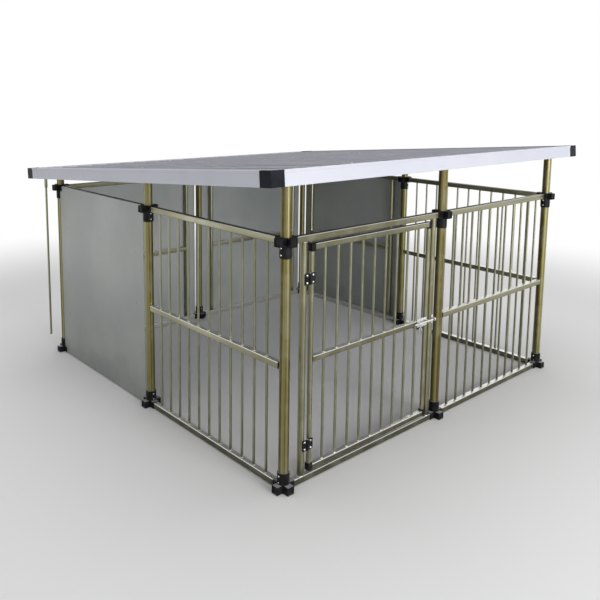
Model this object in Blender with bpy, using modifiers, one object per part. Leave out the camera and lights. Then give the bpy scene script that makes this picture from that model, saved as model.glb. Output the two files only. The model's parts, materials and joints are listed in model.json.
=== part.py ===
# Outdoor dog house: a square kennel of eight round steel posts, wall panels one module wide, a barred
# door and a pitched sheet roof in an aluminium edge frame. Metres, +Z up, the door side faces -Y, and
# the origin is at the centre of the roof's outline on the ground.
import math

import bmesh
import bpy
from mathutils import Matrix, Vector

# Driving dimensions
MODULE = 0.900  # between the axes of neighbouring posts
CLEARANCE = 0.0003  # between pieces that touch

POST_DIAMETER = 0.038
POST_WALL = 0.0015
POST_SIDES = 16

RAIL_SIZE = 0.025  # square tube
TUBE_WALL = 0.0015
TOP_RAIL_HEIGHT = 0.912  # centre line
MID_RAIL_HEIGHT = 0.464
MID_RAIL_GAP = 0.0045  # from a grille's free rail end to the post

SOCKET_WALL = 0.0027
SOCKET_DEPTH = 0.0175
SOCKET_BLANK = 0.003  # depth of the recess in an arm that holds no rail
SLEEVE_WALL = 0.0037
SLEEVE_LENGTH = 0.043  # beyond the arms
SLEEVE_FLOOR = 0.0015  # between the post's bore and a socket's blind end
FOOT_FLOOR = 0.003  # under the post

BAR_DIAMETER = 0.010
BAR_SIDES = 8
GRILLE_BARS = 11
GRILLE_EDGE = 0.095  # first and last bar, from the post axis

STILE_DIAMETER = 0.0254
STILE_WALL = 0.002
STILE_SIDES = 12
WALL_STILE = 0.095  # from the post axis
WELD_BITE = 0.0007  # how far a bar or stile is let into a rail's wall

SHEET_THICKNESS = 0.001
SHEET_INSET = 0.002  # top and bottom edges, inside the rails' outer edges
NOTCH_MARGIN = 0.002  # left open round a connector's arm

DOOR_HINGE_STILE = 0.084  # fixed frame, from the hinge-side post axis
DOOR_LATCH_STILE = 0.060  # fixed frame, from the latch-side post axis
HINGE_GAP = 0.0158  # between the fixed stile and the leaf's stile
LATCH_GAP = 0.0118
LEAF_BOTTOM_GAP = 0.009
LEAF_TOP_GAP = 0.0095
LEAF_STILE_DIAMETER = 0.019
LEAF_RAIL_SIZE = 0.022
LEAF_BARS = 9
ELBOW_HEIGHT = 0.028
ELBOW_WIDTH = 0.020
ELBOW_DEPTH = 0.0235
SPIGOT_LENGTH = 0.016

LOWER_HINGE_RISE = 0.1285  # above the bottom rails' centre line
UPPER_HINGE_DROP = 0.146  # below the top rails' centre line
HINGE_HEIGHT = 0.042
HINGE_WING = 0.026  # from the pin's axis to a wing's edge
HINGE_PLATE = 0.002
HINGE_BARREL = 0.0085
HINGE_PIN = 0.0040
PIN_HEAD = 0.0015

LATCH_RISE = 0.002  # above the middle rails' centre line
LATCH_END = 0.006  # from the latch-side stile's axis to the plate's end
LATCH_LENGTH = 0.065
LATCH_PLATE_HEIGHT = 0.036
LATCH_PLATE = 0.0015
BOLT_DIAMETER = 0.008
BOLT_CLEARANCE = 0.0004  # in the leaf's guides
KEEPER_CLEARANCE = 0.002  # in the keeper, which takes a door that has sagged
BOLT_STAND_OFF = 0.0085  # bolt's axis in front of the plate's face
BOLT_REST_GAP = 0.008  # from the drawn bolt's tip to the keeper
BOLT_TAIL = 0.004  # beyond the guide when shot
BOLT_TRAVEL = 0.022
GUIDE_WIDTH = 0.008
GUIDE_WALL = 0.002
KEEPER_EDGE = 0.003
HANDLE_THICKNESS = 0.003
HANDLE_WIDTH = 0.007
HANDLE_DROP = 0.026
EYE_HOLE = 0.008
EYE_WALL = 0.004

ROOF_SIDE_OVERHANG = 0.137
ROOF_FRONT_OVERHANG = 0.075
ROOF_REAR_OVERHANG = 0.102
ROOF_ABOVE_RAILS = 0.258  # top edge at the front, above the top rails' centre line
ROOF_PITCH = math.radians(4.48)
EDGE_HEIGHT = 0.056
EDGE_WALL = 0.002
EDGE_FLANGE = 0.014
BEAD_HEIGHT = 0.009
BEAD_RISE = 0.0015
CORNER_LEG = 0.058
CORNER_WALL = 0.0035
TONGUE_LENGTH = 0.024
TONGUE_HEIGHT = 0.030
TONGUE_THICKNESS = 0.002
TONGUE_DROP = 0.004  # centre line below the middle of the edge
GUTTER_WIDTH = 0.042
GUTTER_INNER_HEIGHT = 0.026
BEAM_WIDTH = 0.020
BEAM_HEIGHT = 0.040
BEAM_WALL = 0.0016
BEAM_END_GAP = 0.003  # from the beam's end to the edge's inner face
RIB_PITCH = 0.088
RIB_HEIGHT = 0.009
RIB_TOP = 0.020
RIB_SLOPE = 0.008
RIB_MARGIN = 0.001  # flat left beside the outer ribs
ROOFING_THICKNESS = 0.0006
ROOFING_MARGIN = 0.0015  # from the roofing to the edge's inner face
GUTTER_LAP = 0.021  # roofing's end, short of the rear face

DRAIN_DIAMETER = 0.011
DRAIN_BORE = 0.008
DRAIN_COLLAR = 0.016
DRAIN_COLLAR_LENGTH = 0.056
DRAIN_INSET = 0.090  # from the roof's left face
DRAIN_BOTTOM = 0.082

# Places that follow from the dimensions
ARM_SIZE = RAIL_SIZE + 2 * CLEARANCE + 2 * SOCKET_WALL
SLEEVE_DIAMETER = POST_DIAMETER + 2 * CLEARANCE + 2 * SLEEVE_WALL
SOCKET_FLOOR = SLEEVE_DIAMETER / 2 + SLEEVE_FLOOR
ARM_REACH = SOCKET_FLOOR + SOCKET_DEPTH
FOOT_RAIL_HEIGHT = ARM_SIZE / 2
STILE_FRONT = -STILE_DIAMETER / 2
DOOR_STILES = (DOOR_HINGE_STILE, MODULE - DOOR_LATCH_STILE)
LEAF_STILES = (
    DOOR_STILES[0] + STILE_DIAMETER / 2 + HINGE_GAP + LEAF_STILE_DIAMETER / 2,
    DOOR_STILES[1] - STILE_DIAMETER / 2 - LATCH_GAP - LEAF_STILE_DIAMETER / 2,
)
LEAF_Y = STILE_FRONT + LEAF_STILE_DIAMETER / 2  # stiles flush at the front, where the hinges lie
LEAF_BOTTOM = FOOT_RAIL_HEIGHT + RAIL_SIZE / 2 + LEAF_BOTTOM_GAP
LEAF_TOP = TOP_RAIL_HEIGHT - RAIL_SIZE / 2 - LEAF_TOP_GAP
HINGE_X = DOOR_STILES[0] + STILE_DIAMETER / 2 + HINGE_GAP / 2
HINGE_Y = STILE_FRONT - CLEARANCE - HINGE_PLATE
HINGE_HEIGHTS = {"lower": FOOT_RAIL_HEIGHT + LOWER_HINGE_RISE, "upper": TOP_RAIL_HEIGHT - UPPER_HINGE_DROP}
LATCH_HEIGHT = MID_RAIL_HEIGHT + LATCH_RISE
BOLT_Y = LEAF_Y - LEAF_RAIL_SIZE / 2 - CLEARANCE - LATCH_PLATE - BOLT_STAND_OFF

EDGE_INNER = BEAD_RISE + EDGE_WALL
ROOF_WIDTH = 2 * (MODULE + ROOF_SIDE_OVERHANG)
ROOF_PLAN_DEPTH = ROOF_FRONT_OVERHANG + 2 * MODULE + ROOF_REAR_OVERHANG
ROOF_DEPTH = ROOF_PLAN_DEPTH / math.cos(ROOF_PITCH)
ROOF_FRONT_Y = (EDGE_HEIGHT * math.sin(ROOF_PITCH) - ROOF_PLAN_DEPTH) / 2
ROOF_FRONT_HEIGHT = TOP_RAIL_HEIGHT + ROOF_ABOVE_RAILS
FRONT_ROW = ROOF_FRONT_Y + ROOF_FRONT_OVERHANG
ROWS = {"front": FRONT_ROW, "mid": FRONT_ROW + MODULE, "rear": FRONT_ROW + 2 * MODULE}
COLUMNS = {"left": -MODULE, "mid": 0, "right": MODULE}
BEAM_BOTTOM = -EDGE_HEIGHT + EDGE_WALL + CLEARANCE  # in the roof's own frame, whose top face is at zero
ROOFING_BASE = BEAM_BOTTOM + BEAM_HEIGHT + CLEARANCE
ROOF_MATRIX = Matrix.Translation((0, ROOF_FRONT_Y, ROOF_FRONT_HEIGHT)) @ Matrix.Rotation(-ROOF_PITCH, 4, "X")

# Each post: column, row, whether its two rails meet at a corner, and the turn of its connectors
POSTS = {
    "front_left": ("left", "front", True, 0),
    "front_mid": ("mid", "front", False, 0),
    "front_right": ("right", "front", True, 90),
    "mid_left": ("left", "mid", False, 90),
    "mid_right": ("right", "mid", False, 90),
    "rear_left": ("left", "rear", True, 270),
    "rear_mid": ("mid", "rear", False, 0),
    "rear_right": ("right", "rear", True, 180),
}
# Each wall panel: the column and row of the post at its left end, seen from outside, and its turn
GRILLES = {
    "front": ("mid", "front", 0),
    "left": ("left", "mid", -90),
    "right": ("right", "front", 90),
}
SHEET_WALLS = {
    "left": ("left", "rear", -90),
    "right": ("right", "mid", 90),
    "rear_left": ("mid", "rear", 180),
    "rear_right": ("right", "rear", 180),
}


def material(name, colour, roughness, metallic):
    made = bpy.data.materials.new(name)
    made.use_nodes = True
    shader = made.node_tree.nodes["Principled BSDF"]
    shader.inputs["Base Color"].default_value = (*colour, 1.0)
    shader.inputs["Roughness"].default_value = roughness
    shader.inputs["Metallic"].default_value = metallic
    return made


def add_object(name, mesh, location=(0, 0, 0), turn=0.0, parent=None, tilt=0.0):
    made = bpy.data.objects.new(name, mesh)
    made.location = location
    made.rotation_euler = (math.radians(tilt), 0, math.radians(turn))
    made.parent = parent
    kennel.objects.link(made)
    return made


def finish(mesh, name, look):
    mesh.name = name
    mesh.materials.clear()
    mesh.materials.append(look)
    mesh.shade_smooth()
    mesh.set_sharp_from_angle(angle=math.radians(50))
    return mesh


def mesh_from(bm):
    mesh = bpy.data.meshes.new("shape")
    bm.to_mesh(mesh)
    bm.free()
    return mesh


def block(low, high):
    low, high = Vector(low), Vector(high)
    bm = bmesh.new()
    bmesh.ops.create_cube(bm, size=1.0)
    bmesh.ops.scale(bm, vec=high - low, verts=bm.verts)
    bmesh.ops.translate(bm, vec=(low + high) / 2, verts=bm.verts)
    return mesh_from(bm)


def rod(start, end, diameter, sides):
    start, end = Vector(start), Vector(end)
    radius = diameter / 2
    length = (end - start).length
    bm = bmesh.new()
    bmesh.ops.create_cone(bm, cap_ends=True, segments=sides, radius1=radius, radius2=radius, depth=length)
    turn = Vector((0, 0, 1)).rotation_difference(end - start).to_matrix().to_4x4()
    bmesh.ops.transform(bm, matrix=Matrix.Translation((start + end) / 2) @ turn, verts=bm.verts)
    return mesh_from(bm)


def upright(x, y, low, high, diameter, sides):
    return rod((x, y, low), (x, y, high), diameter, sides)


def extruded(outline, length):
    """A flat outline in the YZ plane, drawn out along X and centred on it."""
    curve = bpy.data.curves.new("outline", "CURVE")
    curve.dimensions = "2D"
    curve.fill_mode = "BOTH"
    curve.extrude = length / 2
    spline = curve.splines.new("POLY")
    spline.points.add(len(outline) - 1)
    for point, (y, z) in zip(spline.points, outline):
        point.co = (y, z, 0, 1)
    spline.use_cyclic_u = True
    drawn = bpy.data.objects.new("outline", curve)
    bpy.context.scene.collection.objects.link(drawn)
    mesh = bpy.data.meshes.new_from_object(drawn.evaluated_get(bpy.context.evaluated_depsgraph_get()))
    bpy.data.objects.remove(drawn)
    bm = bmesh.new()
    bm.from_mesh(mesh)
    bmesh.ops.remove_doubles(bm, verts=bm.verts, dist=0.00001)
    axes = Matrix(((0, 0, 1, 0), (1, 0, 0, 0), (0, 1, 0, 0), (0, 0, 0, 1)))
    bmesh.ops.transform(bm, matrix=axes, verts=bm.verts)
    bmesh.ops.recalc_face_normals(bm, faces=bm.faces)
    bpy.data.meshes.remove(mesh)
    return mesh_from(bm)


def joined(meshes):
    """Bodies that don't overlap, in one mesh, to be united with another or to cut it."""
    bm = bmesh.new()
    for mesh in meshes:
        bm.from_mesh(mesh)
        bpy.data.meshes.remove(mesh)
    return mesh_from(bm)


def combine(mesh, other, operation):
    base = bpy.data.objects.new("base", mesh)
    tool = bpy.data.objects.new("tool", other)
    for made in (base, tool):
        bpy.context.scene.collection.objects.link(made)
    boolean = base.modifiers.new("combine", "BOOLEAN")
    boolean.operation = operation
    boolean.solver = "EXACT"
    boolean.object = tool
    result = bpy.data.meshes.new_from_object(base.evaluated_get(bpy.context.evaluated_depsgraph_get()))
    for made in (base, tool):
        bpy.data.objects.remove(made)
    return result


def united(first, *others):
    for other in others:
        first = combine(first, other, "UNION")
    return first


def cut(mesh, *tools):
    for tool in tools:
        mesh = combine(mesh, tool, "DIFFERENCE")
    return mesh


def turned(mesh, degrees):
    mesh.transform(Matrix.Rotation(math.radians(degrees), 4, "Z"))
    return mesh


def beam_block(start, end, y, z, size):
    """A square bar along X about the centre line (y, z)."""
    half = size / 2
    return block((start, y - half, z - half), (end, y + half, z + half))


def square_tube(start, end, y, z, size):
    """A square tube along X, open at both ends."""
    hole = beam_block(start - size, end + size, y, z, size - 2 * TUBE_WALL)
    return cut(beam_block(start, end, y, z, size), hole)


def roof_height(y, depth):
    """Height, at a place y, of the plane that lies at this depth in the roof's own frame."""
    run = y - ROOF_FRONT_Y - depth * math.sin(ROOF_PITCH)
    return ROOF_FRONT_HEIGHT - run * math.tan(ROOF_PITCH) + depth * math.cos(ROOF_PITCH)


def row_along_roof(row):
    """Distance down the slope, in the roof's own frame, of the point over a row of posts."""
    return (ROWS[row] - ROOF_FRONT_Y - BEAM_BOTTOM * math.sin(ROOF_PITCH)) / math.cos(ROOF_PITCH)


def post(row):
    """A tube from the foot's floor to the roof beam, its top cut to the roof's pitch."""
    bottom, top = FOOT_FLOOR + CLEARANCE, TOP_RAIL_HEIGHT + ARM_SIZE
    tube = upright(0, 0, bottom, top, POST_DIAMETER, POST_SIDES)
    tube = cut(tube, upright(0, 0, bottom - 0.01, top + 0.01, POST_DIAMETER - 2 * POST_WALL, POST_SIDES))
    for vertex in tube.vertices:
        if vertex.co.z > top - 0.001:
            vertex.co.z = roof_height(ROWS[row] + vertex.co.y, BEAM_BOTTOM - CLEARANCE)
    return tube


def connector(is_foot, is_corner):
    """A cross of four arms round a sleeve for the post: above the arms on a foot, below them at the top.

    Two arms are sockets for rails, side by side at a corner and opposite on a straight wall.
    The other two are blanked just inside their mouths.
    """
    half = ARM_SIZE / 2
    low, high = (-half, half + SLEEVE_LENGTH) if is_foot else (-half - SLEEVE_LENGTH, half)
    body = united(
        upright(0, 0, low, high, SLEEVE_DIAMETER, POST_SIDES),
        beam_block(-ARM_REACH, ARM_REACH, 0, 0, ARM_SIZE),
        turned(beam_block(-ARM_REACH, ARM_REACH, 0, 0, ARM_SIZE), 90),
    )
    bore_low = -half + FOOT_FLOOR if is_foot else low - 0.01
    cuts = [upright(0, 0, bore_low, high + 0.01, POST_DIAMETER + 2 * CLEARANCE, POST_SIDES)]
    sockets = (0, 90) if is_corner else (0, 180)
    for turn in (0, 90, 180, 270):
        floor = SOCKET_FLOOR if turn in sockets else ARM_REACH - SOCKET_BLANK
        mouth = beam_block(floor, ARM_REACH + 0.01, 0, 0, RAIL_SIZE + 2 * CLEARANCE)
        cuts.append(turned(mouth, turn))
    return cut(body, joined(cuts))


def panel_rails():
    """Top and bottom rails of a panel that runs along X from one post axis to the next."""
    ends = (SOCKET_FLOOR + CLEARANCE, MODULE - SOCKET_FLOOR - CLEARANCE)
    return [square_tube(*ends, 0, z, RAIL_SIZE) for z in (FOOT_RAIL_HEIGHT, TOP_RAIL_HEIGHT)]


def bars_between(places, heights, rail_size, y):
    """Bars from rail to rail, let into the rails' walls."""
    reach = rail_size / 2 - WELD_BITE
    made = []
    for x in places:
        for low, high in zip(heights, heights[1:]):
            made.append(upright(x, y, low + reach, high - reach, BAR_DIAMETER, BAR_SIDES))
    return joined(made)


def grille():
    """Three rails and a row of bars; the middle rail ends free beside the posts."""
    end = POST_DIAMETER / 2 + MID_RAIL_GAP
    rails = panel_rails() + [square_tube(end, MODULE - end, 0, MID_RAIL_HEIGHT, RAIL_SIZE)]
    step = (MODULE - 2 * GRILLE_EDGE) / (GRILLE_BARS - 1)
    places = [GRILLE_EDGE + step * i for i in range(GRILLE_BARS)]
    heights = (FOOT_RAIL_HEIGHT, MID_RAIL_HEIGHT, TOP_RAIL_HEIGHT)
    return united(joined(rails), bars_between(places, heights, RAIL_SIZE, 0))


def tube_stiles(places):
    """Round stiles between the top and bottom rails, and the bores that make tubes of them."""
    low, high = FOOT_RAIL_HEIGHT + RAIL_SIZE / 2 - WELD_BITE, TOP_RAIL_HEIGHT - RAIL_SIZE / 2 + WELD_BITE
    stiles = [upright(x, 0, low, high, STILE_DIAMETER, STILE_SIDES) for x in places]
    bore = STILE_DIAMETER - 2 * STILE_WALL
    bores = [upright(x, 0, FOOT_RAIL_HEIGHT, TOP_RAIL_HEIGHT, bore, STILE_SIDES) for x in places]
    return joined(stiles), joined(bores)


def wall_frame():
    """Rails, stiles and a middle rail coped into the stiles, all tubes that open into each other."""
    places = (WALL_STILE, MODULE - WALL_STILE)
    stiles, bores = tube_stiles(places)
    frame = united(joined(panel_rails()), stiles, beam_block(*places, 0, MID_RAIL_HEIGHT, RAIL_SIZE))
    return cut(frame, bores, beam_block(*places, 0, MID_RAIL_HEIGHT, RAIL_SIZE - 2 * TUBE_WALL))


def wall_sheet():
    """A flat sheet outside the frame, notched at its corners for the connectors' arms."""
    back = STILE_FRONT - CLEARANCE
    edge = SLEEVE_DIAMETER / 2
    low = FOOT_RAIL_HEIGHT - RAIL_SIZE / 2 + SHEET_INSET
    high = TOP_RAIL_HEIGHT + RAIL_SIZE / 2 - SHEET_INSET
    sheet = block((edge, back - SHEET_THICKNESS, low), (MODULE - edge, back, high))
    side = ARM_REACH + NOTCH_MARGIN
    below = FOOT_RAIL_HEIGHT + ARM_SIZE / 2 + NOTCH_MARGIN
    above = TOP_RAIL_HEIGHT - ARM_SIZE / 2 - NOTCH_MARGIN
    notches = []
    for x_low, x_high in ((0, side), (MODULE - side, MODULE)):
        for z_low, z_high in ((low - 0.01, below), (above, high + 0.01)):
            notches.append(block((x_low, 2 * back, z_low), (x_high, 0, z_high)))
    return cut(sheet, joined(notches))


def door_frame():
    """The fixed frame round the door."""
    stiles, bores = tube_stiles(DOOR_STILES)
    return cut(united(joined(panel_rails()), stiles), bores)


def door_leaf():
    """Stiles, three rails and bars; the corner pieces join the outer rails to the stiles."""
    rail = LEAF_RAIL_SIZE
    heights = (LEAF_BOTTOM + rail / 2, MID_RAIL_HEIGHT, LEAF_TOP - rail / 2)
    inset = ELBOW_WIDTH - LEAF_STILE_DIAMETER / 2 + CLEARANCE
    ends = (LEAF_STILES[0] + inset, LEAF_STILES[1] - inset)
    rails = [square_tube(*ends, LEAF_Y, z, rail) for z in (heights[0], heights[2])]
    low, high = LEAF_BOTTOM + ELBOW_HEIGHT + CLEARANCE, LEAF_TOP - ELBOW_HEIGHT - CLEARANCE
    stiles = [upright(x, LEAF_Y, low, high, LEAF_STILE_DIAMETER, STILE_SIDES) for x in LEAF_STILES]
    bore = LEAF_STILE_DIAMETER - 2 * TUBE_WALL
    bores = [upright(x, LEAF_Y, low - 0.01, high + 0.01, bore, STILE_SIDES) for x in LEAF_STILES]
    middle = united(joined(stiles), beam_block(*LEAF_STILES, LEAF_Y, MID_RAIL_HEIGHT, rail))
    hole_inset = LEAF_STILE_DIAMETER / 4  # inside the stiles' bores, so that the tubes open into each other
    hole_ends = (LEAF_STILES[0] + hole_inset, LEAF_STILES[1] - hole_inset)
    middle = cut(middle, joined(bores), beam_block(*hole_ends, LEAF_Y, MID_RAIL_HEIGHT, rail - 2 * TUBE_WALL))
    step = (LEAF_STILES[1] - LEAF_STILES[0]) / (LEAF_BARS + 1)
    places = [LEAF_STILES[0] + step * (i + 1) for i in range(LEAF_BARS)]
    return united(joined(rails + [middle]), bars_between(places, heights, rail, LEAF_Y))


def elbow():
    """Corner piece of the leaf, seen at the top of the hinge side: a block with a spigot into each tube."""
    left, right = -LEAF_STILE_DIAMETER / 2, ELBOW_WIDTH - LEAF_STILE_DIAMETER / 2
    body = block((left, -ELBOW_DEPTH / 2, -ELBOW_HEIGHT), (right, ELBOW_DEPTH / 2, 0))
    round_spigot = LEAF_STILE_DIAMETER - 2 * TUBE_WALL - 2 * CLEARANCE
    square_spigot = LEAF_RAIL_SIZE - 2 * TUBE_WALL - 2 * CLEARANCE
    down = upright(0, 0, -ELBOW_HEIGHT - SPIGOT_LENGTH, -ELBOW_HEIGHT / 2, round_spigot, STILE_SIDES)
    across = beam_block(0, right + SPIGOT_LENGTH, 0, -LEAF_RAIL_SIZE / 2, square_spigot)
    return united(body, down, across)


def hinge_wing(is_frame):
    """One wing of a butt hinge about the pin's axis; the frame's wing has the pin and the outer knuckles."""
    half, third = HINGE_HEIGHT / 2, HINGE_HEIGHT / 6
    side = -1 if is_frame else 1
    inner, outer = sorted((side * CLEARANCE, side * HINGE_WING))
    plate = block((inner, 0, -half), (outer, HINGE_PLATE, half))
    reach = HINGE_BARREL / 2 + CLEARANCE
    gap = third + CLEARANCE / 2
    if is_frame:
        knuckles = ((-half, -gap), (gap, half))
        notches = ((-gap, gap),)
    else:
        knuckles = ((-third + CLEARANCE / 2, third - CLEARANCE / 2),)
        notches = ((-half - 0.01, -knuckles[0][1]), (knuckles[0][1], half + 0.01))
    plate = cut(plate, joined([block((-reach, -reach, low), (reach, reach, high)) for low, high in notches]))
    barrels = [upright(0, 0, low, high, HINGE_BARREL, STILE_SIDES) for low, high in knuckles]
    wing = united(plate, joined(barrels))
    if is_frame:
        shank = upright(0, 0, -half - PIN_HEAD / 2, half, HINGE_PIN, STILE_SIDES)
        head = upright(0, 0, half - PIN_HEAD / 2, half + PIN_HEAD, HINGE_PIN + PIN_HEAD, STILE_SIDES)
        return united(wing, shank, head)
    return cut(wing, upright(0, 0, -half, half, HINGE_PIN + 2 * CLEARANCE, STILE_SIDES))


def latch_guides(plate_low, plate_high, guides, depth, play):
    """A plate with standing guides for the bolt, whose axis is X; the plate's back is this far behind it."""
    half = LATCH_PLATE_HEIGHT / 2
    bore = BOLT_DIAMETER + 2 * play
    outer = bore + 2 * GUIDE_WALL
    body = block((plate_low, depth - LATCH_PLATE, -half), (plate_high, depth, half))
    for low, high in guides:
        lug = block((low, 0, -outer / 2), (high, depth - LATCH_PLATE / 2, outer / 2))
        body = united(body, lug, rod((low, 0, 0), (high, 0, 0), outer, STILE_SIDES))
    return cut(body, rod((plate_low - 0.01, 0, 0), (plate_high + 0.01, 0, 0), bore, STILE_SIDES))


def latch_bolt(tip):
    """Round bolt with a flat handle that hangs between the guides and ends in a padlock eye."""
    tail = -LATCH_LENGTH - BOLT_TRAVEL - BOLT_TAIL
    bolt = rod((tail, 0, 0), (tip, 0, 0), BOLT_DIAMETER, STILE_SIDES)
    handle_low = -LATCH_LENGTH + GUIDE_WIDTH + HANDLE_THICKNESS
    handle_high = handle_low + HANDLE_THICKNESS
    handle = block((handle_low, -HANDLE_WIDTH / 2, -HANDLE_DROP), (handle_high, HANDLE_WIDTH / 2, 0))
    eye_ends = ((handle_low, 0, -HANDLE_DROP), (handle_high, 0, -HANDLE_DROP))
    bolt = united(bolt, handle, rod(*eye_ends, EYE_HOLE + 2 * EYE_WALL, STILE_SIDES))
    hole_ends = ((handle_low - 0.01, 0, -HANDLE_DROP), (handle_high + 0.01, 0, -HANDLE_DROP))
    return cut(bolt, rod(*hole_ends, EYE_HOLE, STILE_SIDES))


def edge_outline():
    """Section of the roof's edge: bead, web and two flanges; outer face at y = 0, top at z = 0."""
    return [
        (0, 0),
        (0, -BEAD_HEIGHT),
        (BEAD_RISE, -BEAD_HEIGHT - BEAD_RISE),
        (BEAD_RISE, -EDGE_HEIGHT),
        (EDGE_FLANGE, -EDGE_HEIGHT),
        (EDGE_FLANGE, -EDGE_HEIGHT + EDGE_WALL),
        (EDGE_INNER, -EDGE_HEIGHT + EDGE_WALL),
        (EDGE_INNER, -EDGE_WALL),
        (EDGE_FLANGE, -EDGE_WALL),
        (EDGE_FLANGE, 0),
    ]


def gutter_outline():
    """Section of the rear edge: the same outer face, with a trough behind it."""
    inner_top = -EDGE_HEIGHT + GUTTER_INNER_HEIGHT
    return edge_outline()[:4] + [
        (GUTTER_WIDTH, -EDGE_HEIGHT),
        (GUTTER_WIDTH, inner_top),
        (GUTTER_WIDTH - EDGE_WALL, inner_top),
        (GUTTER_WIDTH - EDGE_WALL, -EDGE_HEIGHT + EDGE_WALL),
        (EDGE_INNER, -EDGE_HEIGHT + EDGE_WALL),
        (EDGE_INNER, 0),
    ]


def gutter(length):
    """The rear gutter in its place, with a stop at each end and a slim down pipe near its left end."""
    trough = extruded(gutter_outline(), length)
    stop_y = EDGE_INNER + 2 * CLEARANCE + TONGUE_THICKNESS
    stop_top = -EDGE_HEIGHT + GUTTER_INNER_HEIGHT - EDGE_WALL
    for side in (-1, 1):
        low, high = sorted((side * (length / 2 - EDGE_WALL), side * (length / 2 - 2 * EDGE_WALL)))
        stop_low = (low, stop_y, -EDGE_HEIGHT + EDGE_WALL / 2)
        trough = united(trough, block(stop_low, (high, GUTTER_WIDTH - EDGE_WALL / 2, stop_top)))
    facing_rear = Matrix.Translation((0, ROOF_DEPTH, 0)) @ Matrix.Rotation(math.pi, 4, "Z")
    trough.transform(ROOF_MATRIX @ facing_rear)
    x = -ROOF_WIDTH / 2 + DRAIN_INSET
    y = ROOF_FRONT_Y + ROOF_PLAN_DEPTH - GUTTER_WIDTH / 2
    floor = roof_height(y, -EDGE_HEIGHT + EDGE_WALL / 2)
    pipe = united(
        upright(x, y, floor - DRAIN_COLLAR_LENGTH, floor, DRAIN_COLLAR, STILE_SIDES),
        upright(x, y, DRAIN_BOTTOM, floor - DRAIN_COLLAR_LENGTH / 2, DRAIN_DIAMETER, STILE_SIDES),
    )
    bore = upright(x, y, DRAIN_BOTTOM - 0.01, floor + DRAIN_COLLAR, DRAIN_BORE, STILE_SIDES)
    return cut(united(trough, pipe), bore)


def roof_corner():
    """Corner of the roof's edge at the front left: two flanged legs, and a tongue into each neighbour."""
    leg, flange, height = CORNER_LEG, EDGE_FLANGE, EDGE_HEIGHT
    body = united(
        block((0, 0, -height), (leg, CORNER_WALL, 0)),
        block((0, 0, -height), (CORNER_WALL, leg, 0)),
    )
    for low in (-height, -EDGE_WALL):
        body = united(
            body,
            block((0, 0, low), (leg, flange, low + EDGE_WALL)),
            block((0, 0, low), (flange, leg, low + EDGE_WALL)),
        )
    near, far = EDGE_INNER + CLEARANCE, EDGE_INNER + CLEARANCE + TONGUE_THICKNESS
    middle = -height / 2 - TONGUE_DROP
    low, high = middle - TONGUE_HEIGHT / 2, middle + TONGUE_HEIGHT / 2
    start, end = CORNER_WALL / 2, leg + TONGUE_LENGTH
    return united(
        body,
        block((start, CORNER_WALL / 2, low), (leg, far, high)),
        block((start, near, low), (end, far, high)),
        block((CORNER_WALL / 2, start, low), (far, leg, high)),
        block((near, start, low), (far, end, high)),
    )


def roof_beam():
    """A rectangular tube across the roof, seated on the side edges' lower flanges."""
    half = ROOF_WIDTH / 2 - EDGE_INNER - BEAM_END_GAP
    outer = block((-half, -BEAM_WIDTH / 2, 0), (half, BEAM_WIDTH / 2, BEAM_HEIGHT))
    inner = block(
        (-half - 0.01, -BEAM_WIDTH / 2 + BEAM_WALL, BEAM_WALL),
        (half + 0.01, BEAM_WIDTH / 2 - BEAM_WALL, BEAM_HEIGHT - BEAM_WALL),
    )
    return cut(outer, inner)


def rib_centres():
    span = ROOF_WIDTH - 2 * (EDGE_INNER + ROOFING_MARGIN + RIB_MARGIN + RIB_SLOPE) - RIB_TOP
    count = int(span / RIB_PITCH) + 1
    return [RIB_PITCH * (i - (count - 1) / 2) for i in range(count)]


def roofing():
    """The lower face of a ribbed sheet: the section across the ribs, drawn down the slope."""
    half = ROOF_WIDTH / 2 - EDGE_INNER - ROOFING_MARGIN
    top, foot = RIB_TOP / 2, RIB_TOP / 2 + RIB_SLOPE
    section = [(-half, 0)]
    for x in rib_centres():
        section += [(x - foot, 0), (x - top, RIB_HEIGHT), (x + top, RIB_HEIGHT), (x + foot, 0)]
    section.append((half, 0))
    start, end = EDGE_INNER + ROOFING_MARGIN, ROOF_DEPTH - GUTTER_LAP
    bm = bmesh.new()
    verts = [bm.verts.new((x, start, z)) for x, z in section]
    edges = [bm.edges.new(pair) for pair in zip(verts, verts[1:])]
    drawn = bmesh.ops.extrude_edge_only(bm, edges=edges)
    far = [part for part in drawn["geom"] if isinstance(part, bmesh.types.BMVert)]
    bmesh.ops.translate(bm, vec=(0, end - start, 0), verts=far)
    for face in bm.faces:
        face.normal_update()
        if face.normal.z < 0:
            face.normal_flip()
    return mesh_from(bm)


def add_posts():
    post_meshes = {row: finish(post(row), f"post_row_{row}", steel) for row in ROWS}
    connectors = {}
    for is_foot, part in ((True, "foot"), (False, "connector")):
        for is_corner, form in ((True, "corner"), (False, "straight")):
            connectors[part, is_corner] = finish(connector(is_foot, is_corner), f"{part}_{form}", black)
    for name, (column, row, is_corner, turn) in POSTS.items():
        x, y = COLUMNS[column], ROWS[row]
        add_object(f"post_{name}", post_meshes[row], (x, y, 0))
        add_object(f"foot_{name}", connectors["foot", is_corner], (x, y, FOOT_RAIL_HEIGHT), turn)
        add_object(f"connector_{name}", connectors["connector", is_corner], (x, y, TOP_RAIL_HEIGHT), turn)


def add_walls():
    grille_mesh = finish(grille(), "grille", steel)
    for name, (column, row, turn) in GRILLES.items():
        add_object(f"grille_{name}", grille_mesh, (COLUMNS[column], ROWS[row], 0), turn)
    frame_mesh = finish(wall_frame(), "wall_frame", steel)
    sheet_mesh = finish(wall_sheet(), "wall_sheet", grey_sheet)
    for name, (column, row, turn) in SHEET_WALLS.items():
        place = (COLUMNS[column], ROWS[row], 0)
        add_object(f"wall_frame_{name}", frame_mesh, place, turn)
        add_object(f"wall_sheet_{name}", sheet_mesh, place, turn)


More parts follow.
